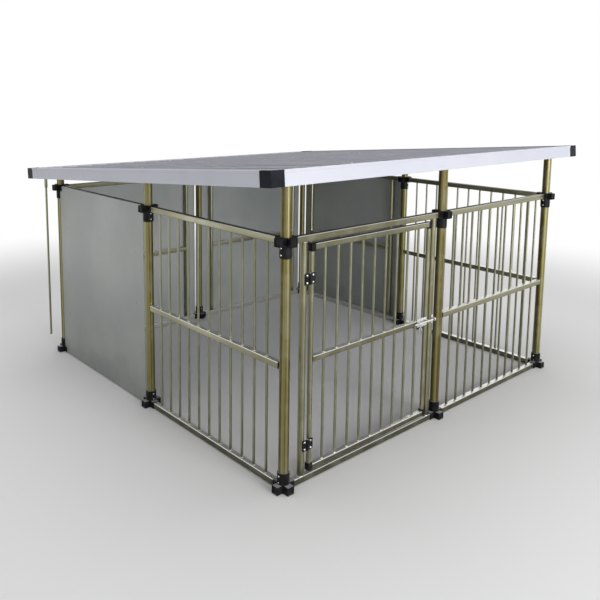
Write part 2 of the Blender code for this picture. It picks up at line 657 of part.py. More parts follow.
def add_door():
    """The leaf and what it carries hang from an empty on the hinge pins' axis."""
    corner = Vector((COLUMNS["left"], ROWS["front"], 0))
    pin = Vector((HINGE_X, HINGE_Y, 0))
    add_object("door_frame", finish(door_frame(), "door_frame", steel), corner)
    axis = add_object("door_axis", None, corner + pin)
    add_object("door_leaf", finish(door_leaf(), "door_leaf", steel), -pin, parent=axis)
    elbow_mesh = finish(elbow(), "leaf_corner", black)
    for side, x, turn in (("hinge", LEAF_STILES[0], 0), ("latch", LEAF_STILES[1], 180)):
        add_object(f"leaf_corner_top_{side}", elbow_mesh, Vector((x, LEAF_Y, LEAF_TOP)) - pin, turn, axis)
        place = Vector((x, LEAF_Y, LEAF_BOTTOM)) - pin
        add_object(f"leaf_corner_bottom_{side}", elbow_mesh, place, turn, axis, tilt=180)
    fixed = finish(hinge_wing(True), "hinge_frame_wing", black)
    moving = finish(hinge_wing(False), "hinge_leaf_wing", black)
    for name, height in HINGE_HEIGHTS.items():
        add_object(f"hinge_{name}_frame_wing", fixed, corner + pin + Vector((0, 0, height)))
        add_object(f"hinge_{name}_leaf_wing", moving, (0, 0, height), parent=axis)
    add_latch(corner, pin, axis)


def add_latch(corner, pin, axis):
    """A barrel bolt on the leaf and its keeper on the frame's stile, all placed by the bolt's axis."""
    end = LEAF_STILES[1] - LATCH_END
    place = Vector((end, BOLT_Y, LATCH_HEIGHT))
    keeper_left = DOOR_STILES[1] - GUIDE_WIDTH / 2
    guides = ((-LATCH_LENGTH, -LATCH_LENGTH + GUIDE_WIDTH), (-GUIDE_WIDTH, 0))
    base = latch_guides(-LATCH_LENGTH, 0, guides, BOLT_STAND_OFF + LATCH_PLATE, BOLT_CLEARANCE)
    add_object("latch_base", finish(base, "latch_base", chrome), place - pin, parent=axis)
    bolt = latch_bolt(keeper_left - BOLT_REST_GAP - end)
    add_object("latch_bolt", finish(bolt, "latch_bolt", chrome), place - pin, parent=axis)
    reach = GUIDE_WIDTH / 2
    edge = reach + KEEPER_EDGE
    depth = STILE_FRONT - CLEARANCE - BOLT_Y
    keeper = latch_guides(-edge, edge, ((-reach, reach),), depth, KEEPER_CLEARANCE)
    keeper_place = corner + Vector((DOOR_STILES[1], BOLT_Y, LATCH_HEIGHT))
    add_object("latch_keeper", finish(keeper, "latch_keeper", chrome), keeper_place)


def add_roof():
    """Everything on the roof but the gutter hangs from an empty at its front top edge, tilted by the pitch."""
    roof = add_object("roof_pitch", None, (0, ROOF_FRONT_Y, ROOF_FRONT_HEIGHT), tilt=-math.degrees(ROOF_PITCH))
    half = ROOF_WIDTH / 2
    gap = CORNER_LEG + CLEARANCE
    across = finish(extruded(edge_outline(), ROOF_WIDTH - 2 * gap), "edge_across", aluminium)
    down = finish(extruded(edge_outline(), ROOF_DEPTH - 2 * gap), "edge_down", aluminium)
    add_object("roof_edge_front", across, parent=roof)
    add_object("roof_edge_left", down, (-half, ROOF_DEPTH / 2, 0), -90, roof)
    add_object("roof_edge_right", down, (half, ROOF_DEPTH / 2, 0), 90, roof)
    add_object("roof_gutter", finish(gutter(ROOF_WIDTH - 2 * gap), "roof_gutter", aluminium))
    corner_mesh = finish(roof_corner(), "roof_corner", black)
    add_object("roof_corner_front_left", corner_mesh, (-half, 0, 0), 0, roof)
    add_object("roof_corner_front_right", corner_mesh, (half, 0, 0), 90, roof)
    add_object("roof_corner_rear_right", corner_mesh, (half, ROOF_DEPTH, 0), 180, roof)
    add_object("roof_corner_rear_left", corner_mesh, (-half, ROOF_DEPTH, 0), 270, roof)
    beam_mesh = finish(roof_beam(), "roof_beam", steel)
    for row in ROWS:
        add_object(f"roof_beam_{row}", beam_mesh, (0, row_along_roof(row), BEAM_BOTTOM), parent=roof)
    sheet_mesh = finish(roofing(), "roof_sheet", roof_metal)
    sheet = add_object("roof_sheet", sheet_mesh, (0, 0, ROOFING_BASE), parent=roof)
    thickness = sheet.modifiers.new("thickness", "SOLIDIFY")
    thickness.thickness = ROOFING_THICKNESS
    thickness.offset = 1.0


for old in list(bpy.data.objects):
    bpy.data.objects.remove(old, do_unlink=True)
kennel = bpy.data.collections.new("dog_house")
bpy.context.scene.collection.children.link(kennel)

steel = material("polished_steel", (0.62, 0.61, 0.56), 0.12, 1.0)
black = material("black_plastic", (0.012, 0.012, 0.014), 0.45, 0.0)
grey_sheet = material("grey_sheet", (0.42, 0.44, 0.44), 0.42, 0.6)
aluminium = material("aluminium_edge", (0.62, 0.66, 0.72), 0.35, 0.8)
roof_metal = material("roof_metal", (0.36, 0.37, 0.40), 0.40, 0.7)
chrome = material("bright_latch", (0.75, 0.75, 0.76), 0.10, 1.0)

add_posts()
add_walls()
add_door()
add_roof()
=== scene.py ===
import json
import math

import bmesh
import bpy
from mathutils import Matrix, Vector


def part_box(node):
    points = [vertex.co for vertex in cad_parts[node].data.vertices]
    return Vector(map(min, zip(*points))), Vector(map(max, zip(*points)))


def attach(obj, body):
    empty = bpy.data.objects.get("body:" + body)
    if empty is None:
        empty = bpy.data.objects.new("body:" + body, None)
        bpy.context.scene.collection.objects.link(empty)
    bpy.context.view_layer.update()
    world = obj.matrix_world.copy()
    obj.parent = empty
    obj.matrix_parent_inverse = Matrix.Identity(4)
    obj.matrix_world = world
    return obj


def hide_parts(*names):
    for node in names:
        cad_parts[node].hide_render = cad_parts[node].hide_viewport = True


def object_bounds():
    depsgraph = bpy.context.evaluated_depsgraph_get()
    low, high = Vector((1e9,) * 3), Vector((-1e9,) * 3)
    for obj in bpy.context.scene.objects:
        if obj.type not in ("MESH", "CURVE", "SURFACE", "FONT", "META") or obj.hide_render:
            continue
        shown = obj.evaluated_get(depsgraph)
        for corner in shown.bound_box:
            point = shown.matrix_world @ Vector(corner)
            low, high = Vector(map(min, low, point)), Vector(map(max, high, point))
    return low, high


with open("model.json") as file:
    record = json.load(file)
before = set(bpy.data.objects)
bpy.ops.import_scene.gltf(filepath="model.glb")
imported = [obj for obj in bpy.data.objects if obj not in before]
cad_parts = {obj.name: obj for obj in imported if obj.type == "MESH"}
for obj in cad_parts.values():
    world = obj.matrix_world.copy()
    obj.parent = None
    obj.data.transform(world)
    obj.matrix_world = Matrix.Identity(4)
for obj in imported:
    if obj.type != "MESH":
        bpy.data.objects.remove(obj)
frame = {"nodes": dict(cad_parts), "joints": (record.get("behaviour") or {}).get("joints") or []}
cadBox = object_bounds()
print("frame loaded:", len(frame["nodes"]), "nodes")

# what several pieces share: tube sizes in metres, and the roof's slope
tubes = {
    "rail": 0.025,
    "railCorner": 0.0032,
    "bar": 0.01,
    "stile": 0.0254,
    "stileWall": 0.002,
    "thinWall": 0.0015,  # posts, rails, the leaf's stiles and the down pipe
    "midRailHeight": 0.464,
    "lap": 0.0004,  # how far an upright's end reaches into its rail
}
roofPitch = math.radians(4.48)
upward = Vector((0, 0, 1))
outward = (0, -1, 0)  # away from a panel, in its own axes
cutOver = 0.01  # how far a cutting shape reaches past the surface


def middleOf(node):
    low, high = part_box(node)
    return (low + high) / 2


def postAxis(name):
    place = middleOf("post_" + name)
    return Vector((place.x, place.y, 0))


# small tools for meshes: every outline is a function of how far it is drawn in
def circle(radius, count, turn=0.0):
    angles = [2 * math.pi * i / count + turn for i in range(count)]
    return [(radius * math.cos(a), radius * math.sin(a)) for a in angles]


def roundOutline(diameter, count=32):
    return lambda inset: circle(diameter / 2 - inset, count)


def rectOutline(width, height, corner, steps=4):
    def points(inset):
        radius = max(corner - inset, 0.0002)
        made = []
        for quarter in range(4):
            x = (width / 2 - inset - radius) * (1 if quarter in (0, 3) else -1)
            y = (height / 2 - inset - radius) * (1 if quarter in (0, 1) else -1)
            for i in range(steps + 1):
                angle = math.pi / 2 * (quarter + i / steps)
                made.append((x + radius * math.cos(angle), y + radius * math.sin(angle)))
        return made

    return points


def axisPlace(start, end, side=None):
    along = (Vector(end) - Vector(start)).normalized()
    across = along.orthogonal().normalized() if side is None else Vector(side).normalized()
    return Matrix.Translation(start) @ Matrix((across, along.cross(across), along)).transposed().to_4x4()


def skin(bm, rings, loop=False):
    verts = [[bm.verts.new(point) for point in ring] for ring in rings]
    pairs = list(zip(verts, verts[1:]))
    if loop:
        pairs.append((verts[-1], verts[0]))
    count = len(verts[0])
    for near, far in pairs:
        for i in range(count):
            j = (i + 1) % count
            bm.faces.new((near[i], near[j], far[j], far[i]))
    if not loop:
        bm.faces.new(list(reversed(verts[0])))
        bm.faces.new(verts[-1])


def addDrawn(bm, start, end, outline, side, stations, loop=False):
    place = axisPlace(start, end, side)
    skin(bm, [[place @ Vector((x, y, z)) for x, y in outline(inset)] for inset, z in stations], loop)


def addTube(bm, start, end, outline, wall, ease=0.0004, side=None):
    length = (Vector(end) - Vector(start)).length
    stations = [
        (ease, 0), (0, ease), (0, length - ease), (ease, length),
        (wall - ease, length), (wall, length - ease), (wall, ease), (wall - ease, 0),
    ]
    addDrawn(bm, start, end, outline, side, stations, loop=True)


def addBar(bm, start, end, outline, ease=0.0004, side=None):
    length = (Vector(end) - Vector(start)).length
    stations = [(ease, 0), (0, ease), (0, length - ease), (ease, length)]
    addDrawn(bm, start, end, outline, side, stations)


def addTurned(bm, place, profile, count=32):
    skin(bm, [[place @ Vector((x, y, z)) for x, y in circle(radius, count)] for radius, z in profile])


def addBlock(bm, low, high, ease, steps=2):
    low, high = Vector(low), Vector(high)
    made = bmesh.ops.create_cube(bm, size=1.0)["verts"]
    bmesh.ops.scale(bm, vec=high - low, verts=made)
    bmesh.ops.translate(bm, vec=(low + high) / 2, verts=made)
    edges = list({edge for vert in made for edge in vert.link_edges})
    bmesh.ops.bevel(bm, geom=edges, offset=ease, segments=steps, profile=0.5, affect="EDGES")


def meshOf(bm, name="shape", closed=True):
    if closed:
        bmesh.ops.recalc_face_normals(bm, faces=bm.faces)
    mesh = bpy.data.meshes.new(name)
    bm.to_mesh(mesh)
    bm.free()
    return mesh


def addObject(name, data):
    made = bpy.data.objects.new(name, data)
    bpy.context.scene.collection.objects.link(made)
    return made


def evaluated(mesh, setUp):
    work = addObject("work", mesh)
    setUp(work)
    result = bpy.data.meshes.new_from_object(work.evaluated_get(bpy.context.evaluated_depsgraph_get()))
    bpy.data.objects.remove(work)
    return result


def combined(mesh, other, operation):
    tool = addObject("tool", other)

    def setUp(work):
        boolean = work.modifiers.new("combine", "BOOLEAN")
        boolean.operation = operation
        boolean.solver = "EXACT"
        boolean.object = tool

    result = evaluated(mesh, setUp)
    bpy.data.objects.remove(tool)
    return result


# how faces are joined, softened and shaded; the angles are in degrees
finish = {"merge": 0.00002, "flat": 1, "bevel": 35, "sharp": 32}


def addSoftening(item, width):
    weld = item.modifiers.new("weld", "WELD")
    weld.merge_threshold = finish["merge"]
    flat = item.modifiers.new("flat", "DECIMATE")
    flat.decimate_type = "DISSOLVE"
    flat.angle_limit = math.radians(finish["flat"])
    bevel = item.modifiers.new("soften", "BEVEL")
    bevel.width = width
    bevel.segments = 2
    bevel.limit_method = "ANGLE"
    bevel.angle_limit = math.radians(finish["bevel"])
    return bevel


def addPiece(name, mesh, look, body="frame", stands=(), place=None):
    if place is not None:
        mesh = mesh.copy()
        mesh.transform(place)
    mesh.name = name
    mesh.materials.clear()
    mesh.materials.append(look["material"])
    mesh.shade_smooth()
    mesh.set_sharp_from_angle(angle=math.radians(finish["sharp"]))
    piece = addObject(name, mesh)
    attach(piece, body)
    if stands:
        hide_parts(*stands)


def finishNode(node, look, width):
    node.data.materials.clear()
    node.data.materials.append(look["material"])
    addSoftening(node, width).harden_normals = True


# weld bead round the end of an upright, a little uneven
beads = {"size": 0.0012, "ripple": 0.18, "lumps": 6, "phase": 400, "steps": 20, "sides": 6}


def addWeld(bm, centre, radius):
    place = axisPlace(centre, Vector(centre) + upward)
    rings = []
    for i in range(beads["steps"]):
        angle = 2 * math.pi * i / beads["steps"]
        wave = math.sin(beads["lumps"] * angle + centre[0] * beads["phase"])
        ring = []
        for out, z in circle(beads["size"] * (1 + beads["ripple"] * wave), beads["sides"]):
            reach = radius + out
            ring.append(place @ Vector((reach * math.cos(angle), reach * math.sin(angle), z)))
        rings.append(ring)
    skin(bm, rings, loop=True)


# pan head screw with a crossed recess, seated at a point and facing outwards; the head's
# profile and the recess's reaches are shares of its radius and height
screws = {
    "radius": 0.0037,
    "height": 0.0022,
    "count": 24,
    "head": ((1.0, -0.25), (1.0, 0.35), (0.93, 0.62), (0.78, 0.85), (0.6, 0.97)),
    "recess": 0.0013,
    "recessReach": (0.42, 0.3),
    "waist": 0.42,
    "sink": 0.00005,
}


def addScrew(bm, seat, out, radius=screws["radius"], height=screws["height"], turn=0.0):
    place = axisPlace(seat, Vector(seat) + Vector(out))
    count = screws["count"]
    rings = []
    for share, rise in screws["head"]:
        rings.append([place @ Vector((x, y, height * rise)) for x, y in circle(radius * share, count, turn)])
    for share, rise in zip(screws["recessReach"], (1.0, 1.0 - screws["recess"] / height)):
        ring = []
        for i in range(count):
            angle = 2 * math.pi * i / count + turn
            arm = abs(math.cos(2 * (angle - turn))) ** 1.5
            reach = radius * share * (screws["waist"] + (1 - screws["waist"]) * arm)
            ring.append(place @ Vector((reach * math.cos(angle), reach * math.sin(angle), height * rise)))
        rings.append(ring)
    skin(bm, rings)


# shader tools
def newGroup(name, inputs, outputs):
    group = bpy.data.node_groups.new(name, "ShaderNodeTree")
    for label, (kind, value) in inputs.items():
        socket = group.interface.new_socket(name=label, in_out="INPUT", socket_type="NodeSocket" + kind)
        socket.default_value = value
    for label, kind in outputs.items():
        group.interface.new_socket(name=label, in_out="OUTPUT", socket_type="NodeSocket" + kind)
    return group, group.nodes.new("NodeGroupInput").outputs, group.nodes.new("NodeGroupOutput").inputs


def addNode(tree, kind, settings=None, values=None):
    node = tree.nodes.new(kind)
    for key, value in (settings or {}).items():
        setattr(node, key, value)
    for key, value in (values or {}).items():
        node.inputs[key].default_value = value
    return node


def placeGroup(tree, group, values=None):
    return addNode(tree, "ShaderNodeGroup", {"node_tree": group}, values)


def feed(tree, socket, value):
    if isinstance(value, bpy.types.NodeSocket):
        tree.links.new(value, socket)
    else:
        socket.default_value = value


def mixColour(tree, factor, first, second):
    node = addNode(tree, "ShaderNodeMix", {"data_type": "RGBA"})
    for index, value in ((0, factor), (6, first), (7, second)):
        feed(tree, node.inputs[index], value)
    return node.outputs[2]


def ramp(tree, value, low, high, first=0.0, last=1.0, mode="EASE"):
    node = addNode(tree, "ShaderNodeValToRGB")
    node.color_ramp.interpolation = mode
    stops = ((low, first), (high, last))
    for element, (position, colour) in zip(node.color_ramp.elements, stops):
        element.position = position
        element.color = colour if hasattr(colour, "__len__") else (colour, colour, colour, 1)
    tree.links.new(value, node.inputs[0])
    return node.outputs[0]


def mathNode(tree, operation, first, second=0.5, kind="ShaderNodeMath"):
    node = addNode(tree, kind, {"operation": operation})
    for socket, value in zip(node.inputs, (first, second)):
        feed(tree, socket, value)
    return node.outputs[0]


def vectorNode(tree, operation, first, second):
    return mathNode(tree, operation, first, second, "ShaderNodeVectorMath")


def noise(tree, vector, scale, detail, rough=0.5):
    node = addNode(tree, "ShaderNodeTexNoise", values={"Detail": detail, "Roughness": rough})
    tree.links.new(vector, node.inputs["Vector"])
    feed(tree, node.inputs["Scale"], scale)
    return node.outputs["Fac"]


def axesOf(tree, vector):
    node = addNode(tree, "ShaderNodeSeparateXYZ")
    tree.links.new(vector, node.inputs[0])
    return node.outputs


# how far a surface faces the sky, lies flat under it, faces the ground or faces a side: masks that place
# painted light and shade
facingLimits = {"Above": (0.25, 0.6), "Flat": (0.88, 0.97), "Below": (0.45, 0.85), "Side": (0.25, 0.6)}


def makeFacingGroup():
    group, _, end = newGroup("facing", {}, {label: "Float" for label in facingLimits})
    normal = axesOf(group, addNode(group, "ShaderNodeTexCoord").outputs["Normal"])
    ways = {
        "Above": normal["Z"],
        "Flat": normal["Z"],
        "Below": mathNode(group, "MULTIPLY", normal["Z"], -1.0),
        "Side": mathNode(group, "ABSOLUTE", normal["X"]),
    }
    for label, limits in facingLimits.items():
        group.links.new(ramp(group, ways[label], *limits), end[label])
    return group


facingGroup = makeFacingGroup()

# painted reflection and shade on polished tube: low down it gets a dark painted reflection of the ground, and
# flat tops just under the roof get painted shade, as they see no sky; heights in metres
paintedShade = {"ground": (0.035, 0.075), "roof": (0.84, 0.88), "roofShadeColour": (0.02, 0.02, 0.02, 1)}


# painted reflections on polished tube: bright, body and dark bands along its length that follow the way the
# surface faces, a painted highlight on faces turned up and painted shade on faces turned down
def makePaintedReflectionGroup():
    inputs = {
        "Bright": ("Color", (0.8, 0.8, 0.7, 1)),
        "Body": ("Color", (0.5, 0.5, 0.4, 1)),
        "Dark": ("Color", (0.1, 0.1, 0.05, 1)),
        "Painted Top Highlight": ("Color", (0.9, 0.9, 0.8, 1)),
        "Painted Ground Reflection": ("Color", (0.11, 0.11, 0.075, 1)),
        "Band Scale": ("Float", 1.6),
        "Drift": ("Float", 1.2),
    }
    group, start, end = newGroup("paintedReflectionBands", inputs, {"Color": "Color"})
    coords = addNode(group, "ShaderNodeTexCoord").outputs
    turned = vectorNode(group, "MULTIPLY", coords["Normal"], (1.0, 1.0, 0.6))
    drift = vectorNode(group, "MULTIPLY", coords["Object"], (0.9, 0.9, 0.25))
    scaled = addNode(group, "ShaderNodeVectorMath", {"operation": "SCALE"})
    group.links.new(drift, scaled.inputs[0])
    group.links.new(start["Drift"], scaled.inputs["Scale"])
    paintedBands = noise(group, vectorNode(group, "ADD", turned, scaled.outputs[0]), start["Band Scale"], 2.0, 0.55)
    colour = mixColour(group, ramp(group, paintedBands, 0.4, 0.5), start["Dark"], start["Body"])
    colour = mixColour(group, ramp(group, paintedBands, 0.54, 0.68), colour, start["Bright"])
    facing = placeGroup(group, facingGroup).outputs
    # painted highlight on faces turned up and painted shade on faces turned down
    colour = mixColour(group, facing["Above"], colour, start["Painted Top Highlight"])
    colour = mixColour(group, facing["Below"], colour, start["Dark"])
    # painted reflection of the dark ground on low tubes and painted shade on flat tops under the roof
    height = axesOf(group, coords["Object"])["Z"]
    ground = ramp(group, height, *paintedShade["ground"], 1.0, 0.0)
    ground = mathNode(group, "MULTIPLY", ground, mathNode(group, "SUBTRACT", 1.0, facing["Above"]))
    colour = mixColour(group, ground, colour, start["Painted Ground Reflection"])
    roofShadeMask = mathNode(group, "MULTIPLY", ramp(group, height, *paintedShade["roof"]), facing["Flat"])
    group.links.new(mixColour(group, roofShadeMask, colour, paintedShade["roofShadeColour"]), end["Color"])
    return group


# smudges and fine dust that dull a surface and change its roughness
def makeWearGroup():
    inputs = {
        "Color": ("Color", (0.5, 0.5, 0.5, 1)),
        "Dust": ("Color", (0.45, 0.42, 0.36, 1)),
        "Amount": ("Float", 0.3),
        "Roughness": ("Float", 0.3),
        "Spread": ("Float", 0.15),
        "Scale": ("Float", 6.0),
    }
    group, start, end = newGroup("handlingWear", inputs, {"Color": "Color", "Roughness": "Float"})
    place = addNode(group, "ShaderNodeTexCoord").outputs["Object"]
    mask = ramp(group, noise(group, place, start["Scale"], 5.0, 0.62), 0.42, 0.66)
    fine = mathNode(group, "ADD", noise(group, place, 180.0, 2.0), 0.4)
    mask = mathNode(group, "MULTIPLY", mask, fine)
    amount = mathNode(group, "MULTIPLY", mask, start["Amount"])
    group.links.new(mixColour(group, amount, start["Color"], start["Dust"]), end["Color"])
    rough = mathNode(group, "MULTIPLY", mask, start["Spread"])
    group.links.new(mathNode(group, "ADD", rough, start["Roughness"]), end["Roughness"])
    return group


# fine surface grain as a normal: rolling lines when one axis is much less stretched than the others
def makeGrainGroup():
    inputs = {
        "Stretch": ("Vector", (1.0, 1.0, 1.0)),
        "Scale": ("Float", 900.0),
        "Strength": ("Float", 0.08),
        "Wave Scale": ("Float", 5.0),
        "Wave": ("Float", 0.0),
    }
    group, start, end = newGroup("surfaceGrain", inputs, {"Normal": "Vector"})
    place = addNode(group, "ShaderNodeTexCoord").outputs["Object"]
    grain = noise(group, vectorNode(group, "MULTIPLY", place, start["Stretch"]), start["Scale"], 3.0, 0.6)
    wave = noise(group, place, start["Wave Scale"], 1.0)
    small = mathNode(group, "MULTIPLY", grain, start["Strength"])
    large = mathNode(group, "MULTIPLY", wave, start["Wave"])
    bump = addNode(group, "ShaderNodeBump", values={"Strength": 1.0, "Distance": 0.0002})
    group.links.new(mathNode(group, "ADD", small, large), bump.inputs["Height"])
    group.links.new(bump.outputs[0], end["Normal"])
    return group


paintedReflectionGroup = makePaintedReflectionGroup()
wearGroup = makeWearGroup()
grainGroup = makeGrainGroup()


# painted reflection bands colour the polished tubes; base colours the rest, with patches from low to high and
# with painted light and shade by facing and height; a value that a look leaves out is the one of its group
def makeLook(name, slot, wear, grain, metallic, base=None, paintedBands=None, specular=0.5):
    made = bpy.data.materials.new(name)
    made.use_nodes = True
    tree = made.node_tree
    shader = tree.nodes["Principled BSDF"].inputs
    shader["Metallic"].default_value = metallic
    shader["Specular IOR Level"].default_value = specular
    worn = placeGroup(tree, wearGroup, wear)
    if paintedBands:
        shade = placeGroup(tree, paintedReflectionGroup, paintedBands).outputs["Color"]
    else:
        place = addNode(tree, "ShaderNodeTexCoord").outputs["Object"]
        patch = noise(tree, place, base["patchScale"], 4.0)
        shade = ramp(tree, patch, 0.3, 0.7, base["low"], base["high"])
        facing = placeGroup(tree, facingGroup).outputs
        # painted light and shade: painted light on faces turned up, painted side shade on faces turned to a
        # side, and painted shade towards the bottom on faces turned to a side
        if "above" in base:
            shade = mixColour(tree, facing["Flat"], shade, base["above"])
        if "side" in base:
            shade = mixColour(tree, facing["Side"], shade, base["side"])
        if "ground" in base:
            near = ramp(tree, axesOf(tree, place)["Z"], *base["groundReach"], 1.0, 0.0, "LINEAR")
            shade = mixColour(tree, mathNode(tree, "MULTIPLY", near, facing["Side"]), shade, base["ground"])
    tree.links.new(shade, worn.inputs["Color"])
    tree.links.new(worn.outputs["Color"], shader["Base Color"])
    tree.links.new(worn.outputs["Roughness"], shader["Roughness"])
    tree.links.new(placeGroup(tree, grainGroup, grain).outputs["Normal"], shader["Normal"])
    return {"material": made, "slot": slot}


# polished stainless tube as lit and shaded copies of one steel, each with painted reflection bands: the
# posts' golden tone is a painted reflection, rails and bars are painted paler, and the sills inside palest as
# painted light
postLook = makeLook(
    "postSteel", "polished_steel", metallic=0.9,
    paintedBands={"Bright": (0.34, 0.32, 0.17, 1), "Body": (0.205, 0.185, 0.07, 1), "Dark": (0.085, 0.065, 0.022, 1),
           "Painted Top Highlight": (0.5, 0.5, 0.4, 1), "Band Scale": 1.5, "Drift": 0.9},
    wear={"Dust": (0.3, 0.29, 0.2, 1), "Roughness": 0.4, "Spread": 0.12, "Scale": 9.0},
    grain={"Stretch": (1.0, 1.0, 0.05), "Scale": 1400.0, "Wave Scale": 4.0, "Wave": 0.2},
)
railLook = makeLook(
    "railSteel", "polished_steel", metallic=0.9,
    paintedBands={"Bright": (0.46, 0.455, 0.33, 1), "Body": (0.285, 0.275, 0.17, 1), "Dark": (0.165, 0.16, 0.095, 1),
           "Painted Top Highlight": (0.98, 0.98, 0.95, 1), "Band Scale": 1.4, "Drift": 0.8},
    wear={"Dust": (0.36, 0.35, 0.28, 1), "Roughness": 0.28, "Spread": 0.14, "Scale": 12.0},
    grain={"Wave": 0.2},
)
barLook = makeLook(
    "barSteel", "polished_steel", metallic=0.9,
    paintedBands={"Bright": (0.5, 0.505, 0.39, 1), "Body": (0.29, 0.295, 0.205, 1), "Dark": (0.125, 0.125, 0.08, 1),
           "Painted Top Highlight": (0.95, 0.95, 0.9, 1), "Band Scale": 1.5, "Drift": 0.9},
    wear={"Dust": (0.34, 0.34, 0.27, 1), "Roughness": 0.32, "Spread": 0.12, "Scale": 14.0},
    grain={"Stretch": (1.0, 1.0, 0.05), "Scale": 1800.0, "Strength": 0.05, "Wave": 0.1},
)
# bright fittings, with the same painted reflection bands
brightLook = makeLook(
    "brightFittings", "bright_latch", metallic=0.9,
    paintedBands={"Bright": (0.98, 0.98, 0.98, 1), "Body": (0.8, 0.8, 0.8, 1), "Dark": (0.34, 0.34, 0.34, 1),
           "Painted Top Highlight": (0.98, 0.98, 0.98, 1), "Band Scale": 1.8, "Drift": 2.0},
    wear={"Dust": (0.6, 0.58, 0.54, 1), "Amount": 0.15, "Roughness": 0.16, "Spread": 0.14, "Scale": 60.0},
    grain={"Scale": 2500.0},
)
# the sills inside: a lit copy of the rail steel, with a pale painted ground reflection
sillLook = makeLook(
    "sillSteel", "polished_steel", metallic=0.8,
    paintedBands={"Bright": (0.72, 0.72, 0.7, 1), "Body": (0.58, 0.58, 0.55, 1), "Dark": (0.42, 0.42, 0.39, 1),
           "Painted Top Highlight": (0.98, 0.98, 0.95, 1), "Painted Ground Reflection": (0.56, 0.56, 0.53, 1), "Band Scale": 1.4, "Drift": 0.8},
    wear={"Dust": (0.45, 0.44, 0.38, 1), "Roughness": 0.3, "Spread": 0.14, "Scale": 12.0},
    grain={"Wave": 0.2},
)
# black mouldings: the feet carry a painted sheen, a pale reflection, on top
moulded = {
    "slot": "black_plastic",
    "metallic": 0.0,
    "specular": 0.14,
    "wear": {"Dust": (0.05, 0.05, 0.05, 1), "Amount": 0.16, "Roughness": 0.34, "Spread": 0.22, "Scale": 25.0},
    "grain": {"Scale": 2200.0, "Strength": 0.3},
}
mouldedBase = {"low": (0.003, 0.003, 0.004, 1), "high": (0.008, 0.008, 0.009, 1), "patchScale": 20.0}
plasticLook = makeLook("blackPlastic", base=mouldedBase, **moulded)
# painted sheen on the feet's top faces
footLook = makeLook("footPlastic", base={**mouldedBase, "above": (0.3, 0.3, 0.305, 1)}, **moulded)
capLook = makeLook(
    "capPlastic", "black_plastic", metallic=0.0, specular=0.1,
    base={"low": (0.006, 0.007, 0.01, 1), "high": (0.012, 0.013, 0.019, 1), "patchScale": 16.0},
    wear={"Dust": (0.06, 0.06, 0.08, 1), "Amount": 0.14, "Roughness": 0.36, "Spread": 0.2, "Scale": 25.0},
    grain={"Scale": 2000.0, "Strength": 0.22},
)
# wall sheet, with painted shade darkening its faces turned to a side towards the bottom
sheetLook = makeLook(
    "wallSheet", "grey_sheet", metallic=0.3,
    base={"low": (0.35, 0.375, 0.365, 1), "high": (0.44, 0.465, 0.455, 1), "patchScale": 2.2,
          "ground": (0.26, 0.275, 0.265, 1), "groundReach": (0.05, 0.65)},
    wear={"Dust": (0.46, 0.46, 0.43, 1), "Amount": 0.35, "Roughness": 0.4, "Spread": 0.12, "Scale": 4.0},
    grain={"Stretch": (1.0, 1.0, 0.03), "Scale": 700.0, "Strength": 0.1, "Wave Scale": 2.6, "Wave": 2.0},
)
# fascia aluminium, with painted light on its top faces
edgeLook = makeLook(
    "edgeAluminium", "aluminium_edge", metallic=0.1,
    base={"low": (0.565, 0.58, 0.655, 1), "high": (0.61, 0.625, 0.695, 1), "patchScale": 1.6,
          "above": (0.8, 0.8, 0.84, 1)},
    wear={"Dust": (0.55, 0.56, 0.61, 1), "Roughness": 0.38, "Spread": 0.1, "Scale": 5.0},
    grain={"Scale": 600.0, "Strength": 0.06, "Wave Scale": 3.0, "Wave": 0.5},
)
# roofing, with painted shade on the rib flanks and other faces turned to a side
roofLook = makeLook(
    "roofing", "roof_metal", metallic=0.25,
    base={"low": (0.35, 0.352, 0.405, 1), "high": (0.43, 0.432, 0.49, 1), "patchScale": 3.0,
          "side": (0.15, 0.15, 0.19, 1)},
    wear={"Dust": (0.42, 0.42, 0.44, 1), "Amount": 0.4, "Roughness": 0.4, "Spread": 0.16, "Scale": 7.0},
    grain={"Stretch": (1.0, 0.05, 1.0), "Scale": 500.0, "Strength": 0.12, "Wave Scale": 3.0, "Wave": 1.5},
)
print("materials made")

# posts, feet and connectors: at a corner or not, turn of the sockets, side of the screws
postPlaces = {
    "front_left": (True, 0, (-1, 0)),
    "front_mid": (False, 0, (0, 1)),
    "front_right": (True, 90, (-1, 0)),
    "mid_left": (False, 90, (0, -1)),
    "mid_right": (False, 90, (0, -1)),
    "rear_left": (True, 270, (0, 1)),
    "rear_mid": (False, 0, (0, -1)),
    "rear_right": (True, 180, (0, 1)),
}
connector = {
    "arm": 0.031,
    "armCorner": 0.0032,
    "armEase": 0.0011,
    "reach": 0.042,
    "socket": 0.0256,
    "socketCorner": 0.0026,
    "socketFloor": 0.0245,
    "blankDepth": 0.003,
    "sleeve": 0.046,
    "sleeveLength": 0.043,
    "sleeveEase": 0.0008,
    "lipHeight": 0.006,
    "lipSlope": 0.001,
    "lipStep": 0.0007,
    "lipEase": 0.0012,
    "bore": 0.0386,
    "floor": 0.003,
    "screwRows": (0.0055, 0.0305),
    "screwSink": 0.0004,
}


def makePost(name):
    low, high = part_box("post_" + name)
    diameter, slope = high.x - low.x, math.tan(roofPitch)
    bm = bmesh.new()
    addTube(bm, (0, 0, low.z), (0, 0, high.z), roundOutline(diameter, 48), tubes["thinWall"])
    for vert in bm.verts:
        if vert.co.z > (low.z + high.z) / 2:  # the top is cut to the roof's slope
            vert.co.z -= (diameter / 2 + vert.co.y) * slope
    place = Matrix.Translation(postAxis(name))
    addPiece("post." + name, meshOf(bm), postLook, stands=["post_" + name], place=place)


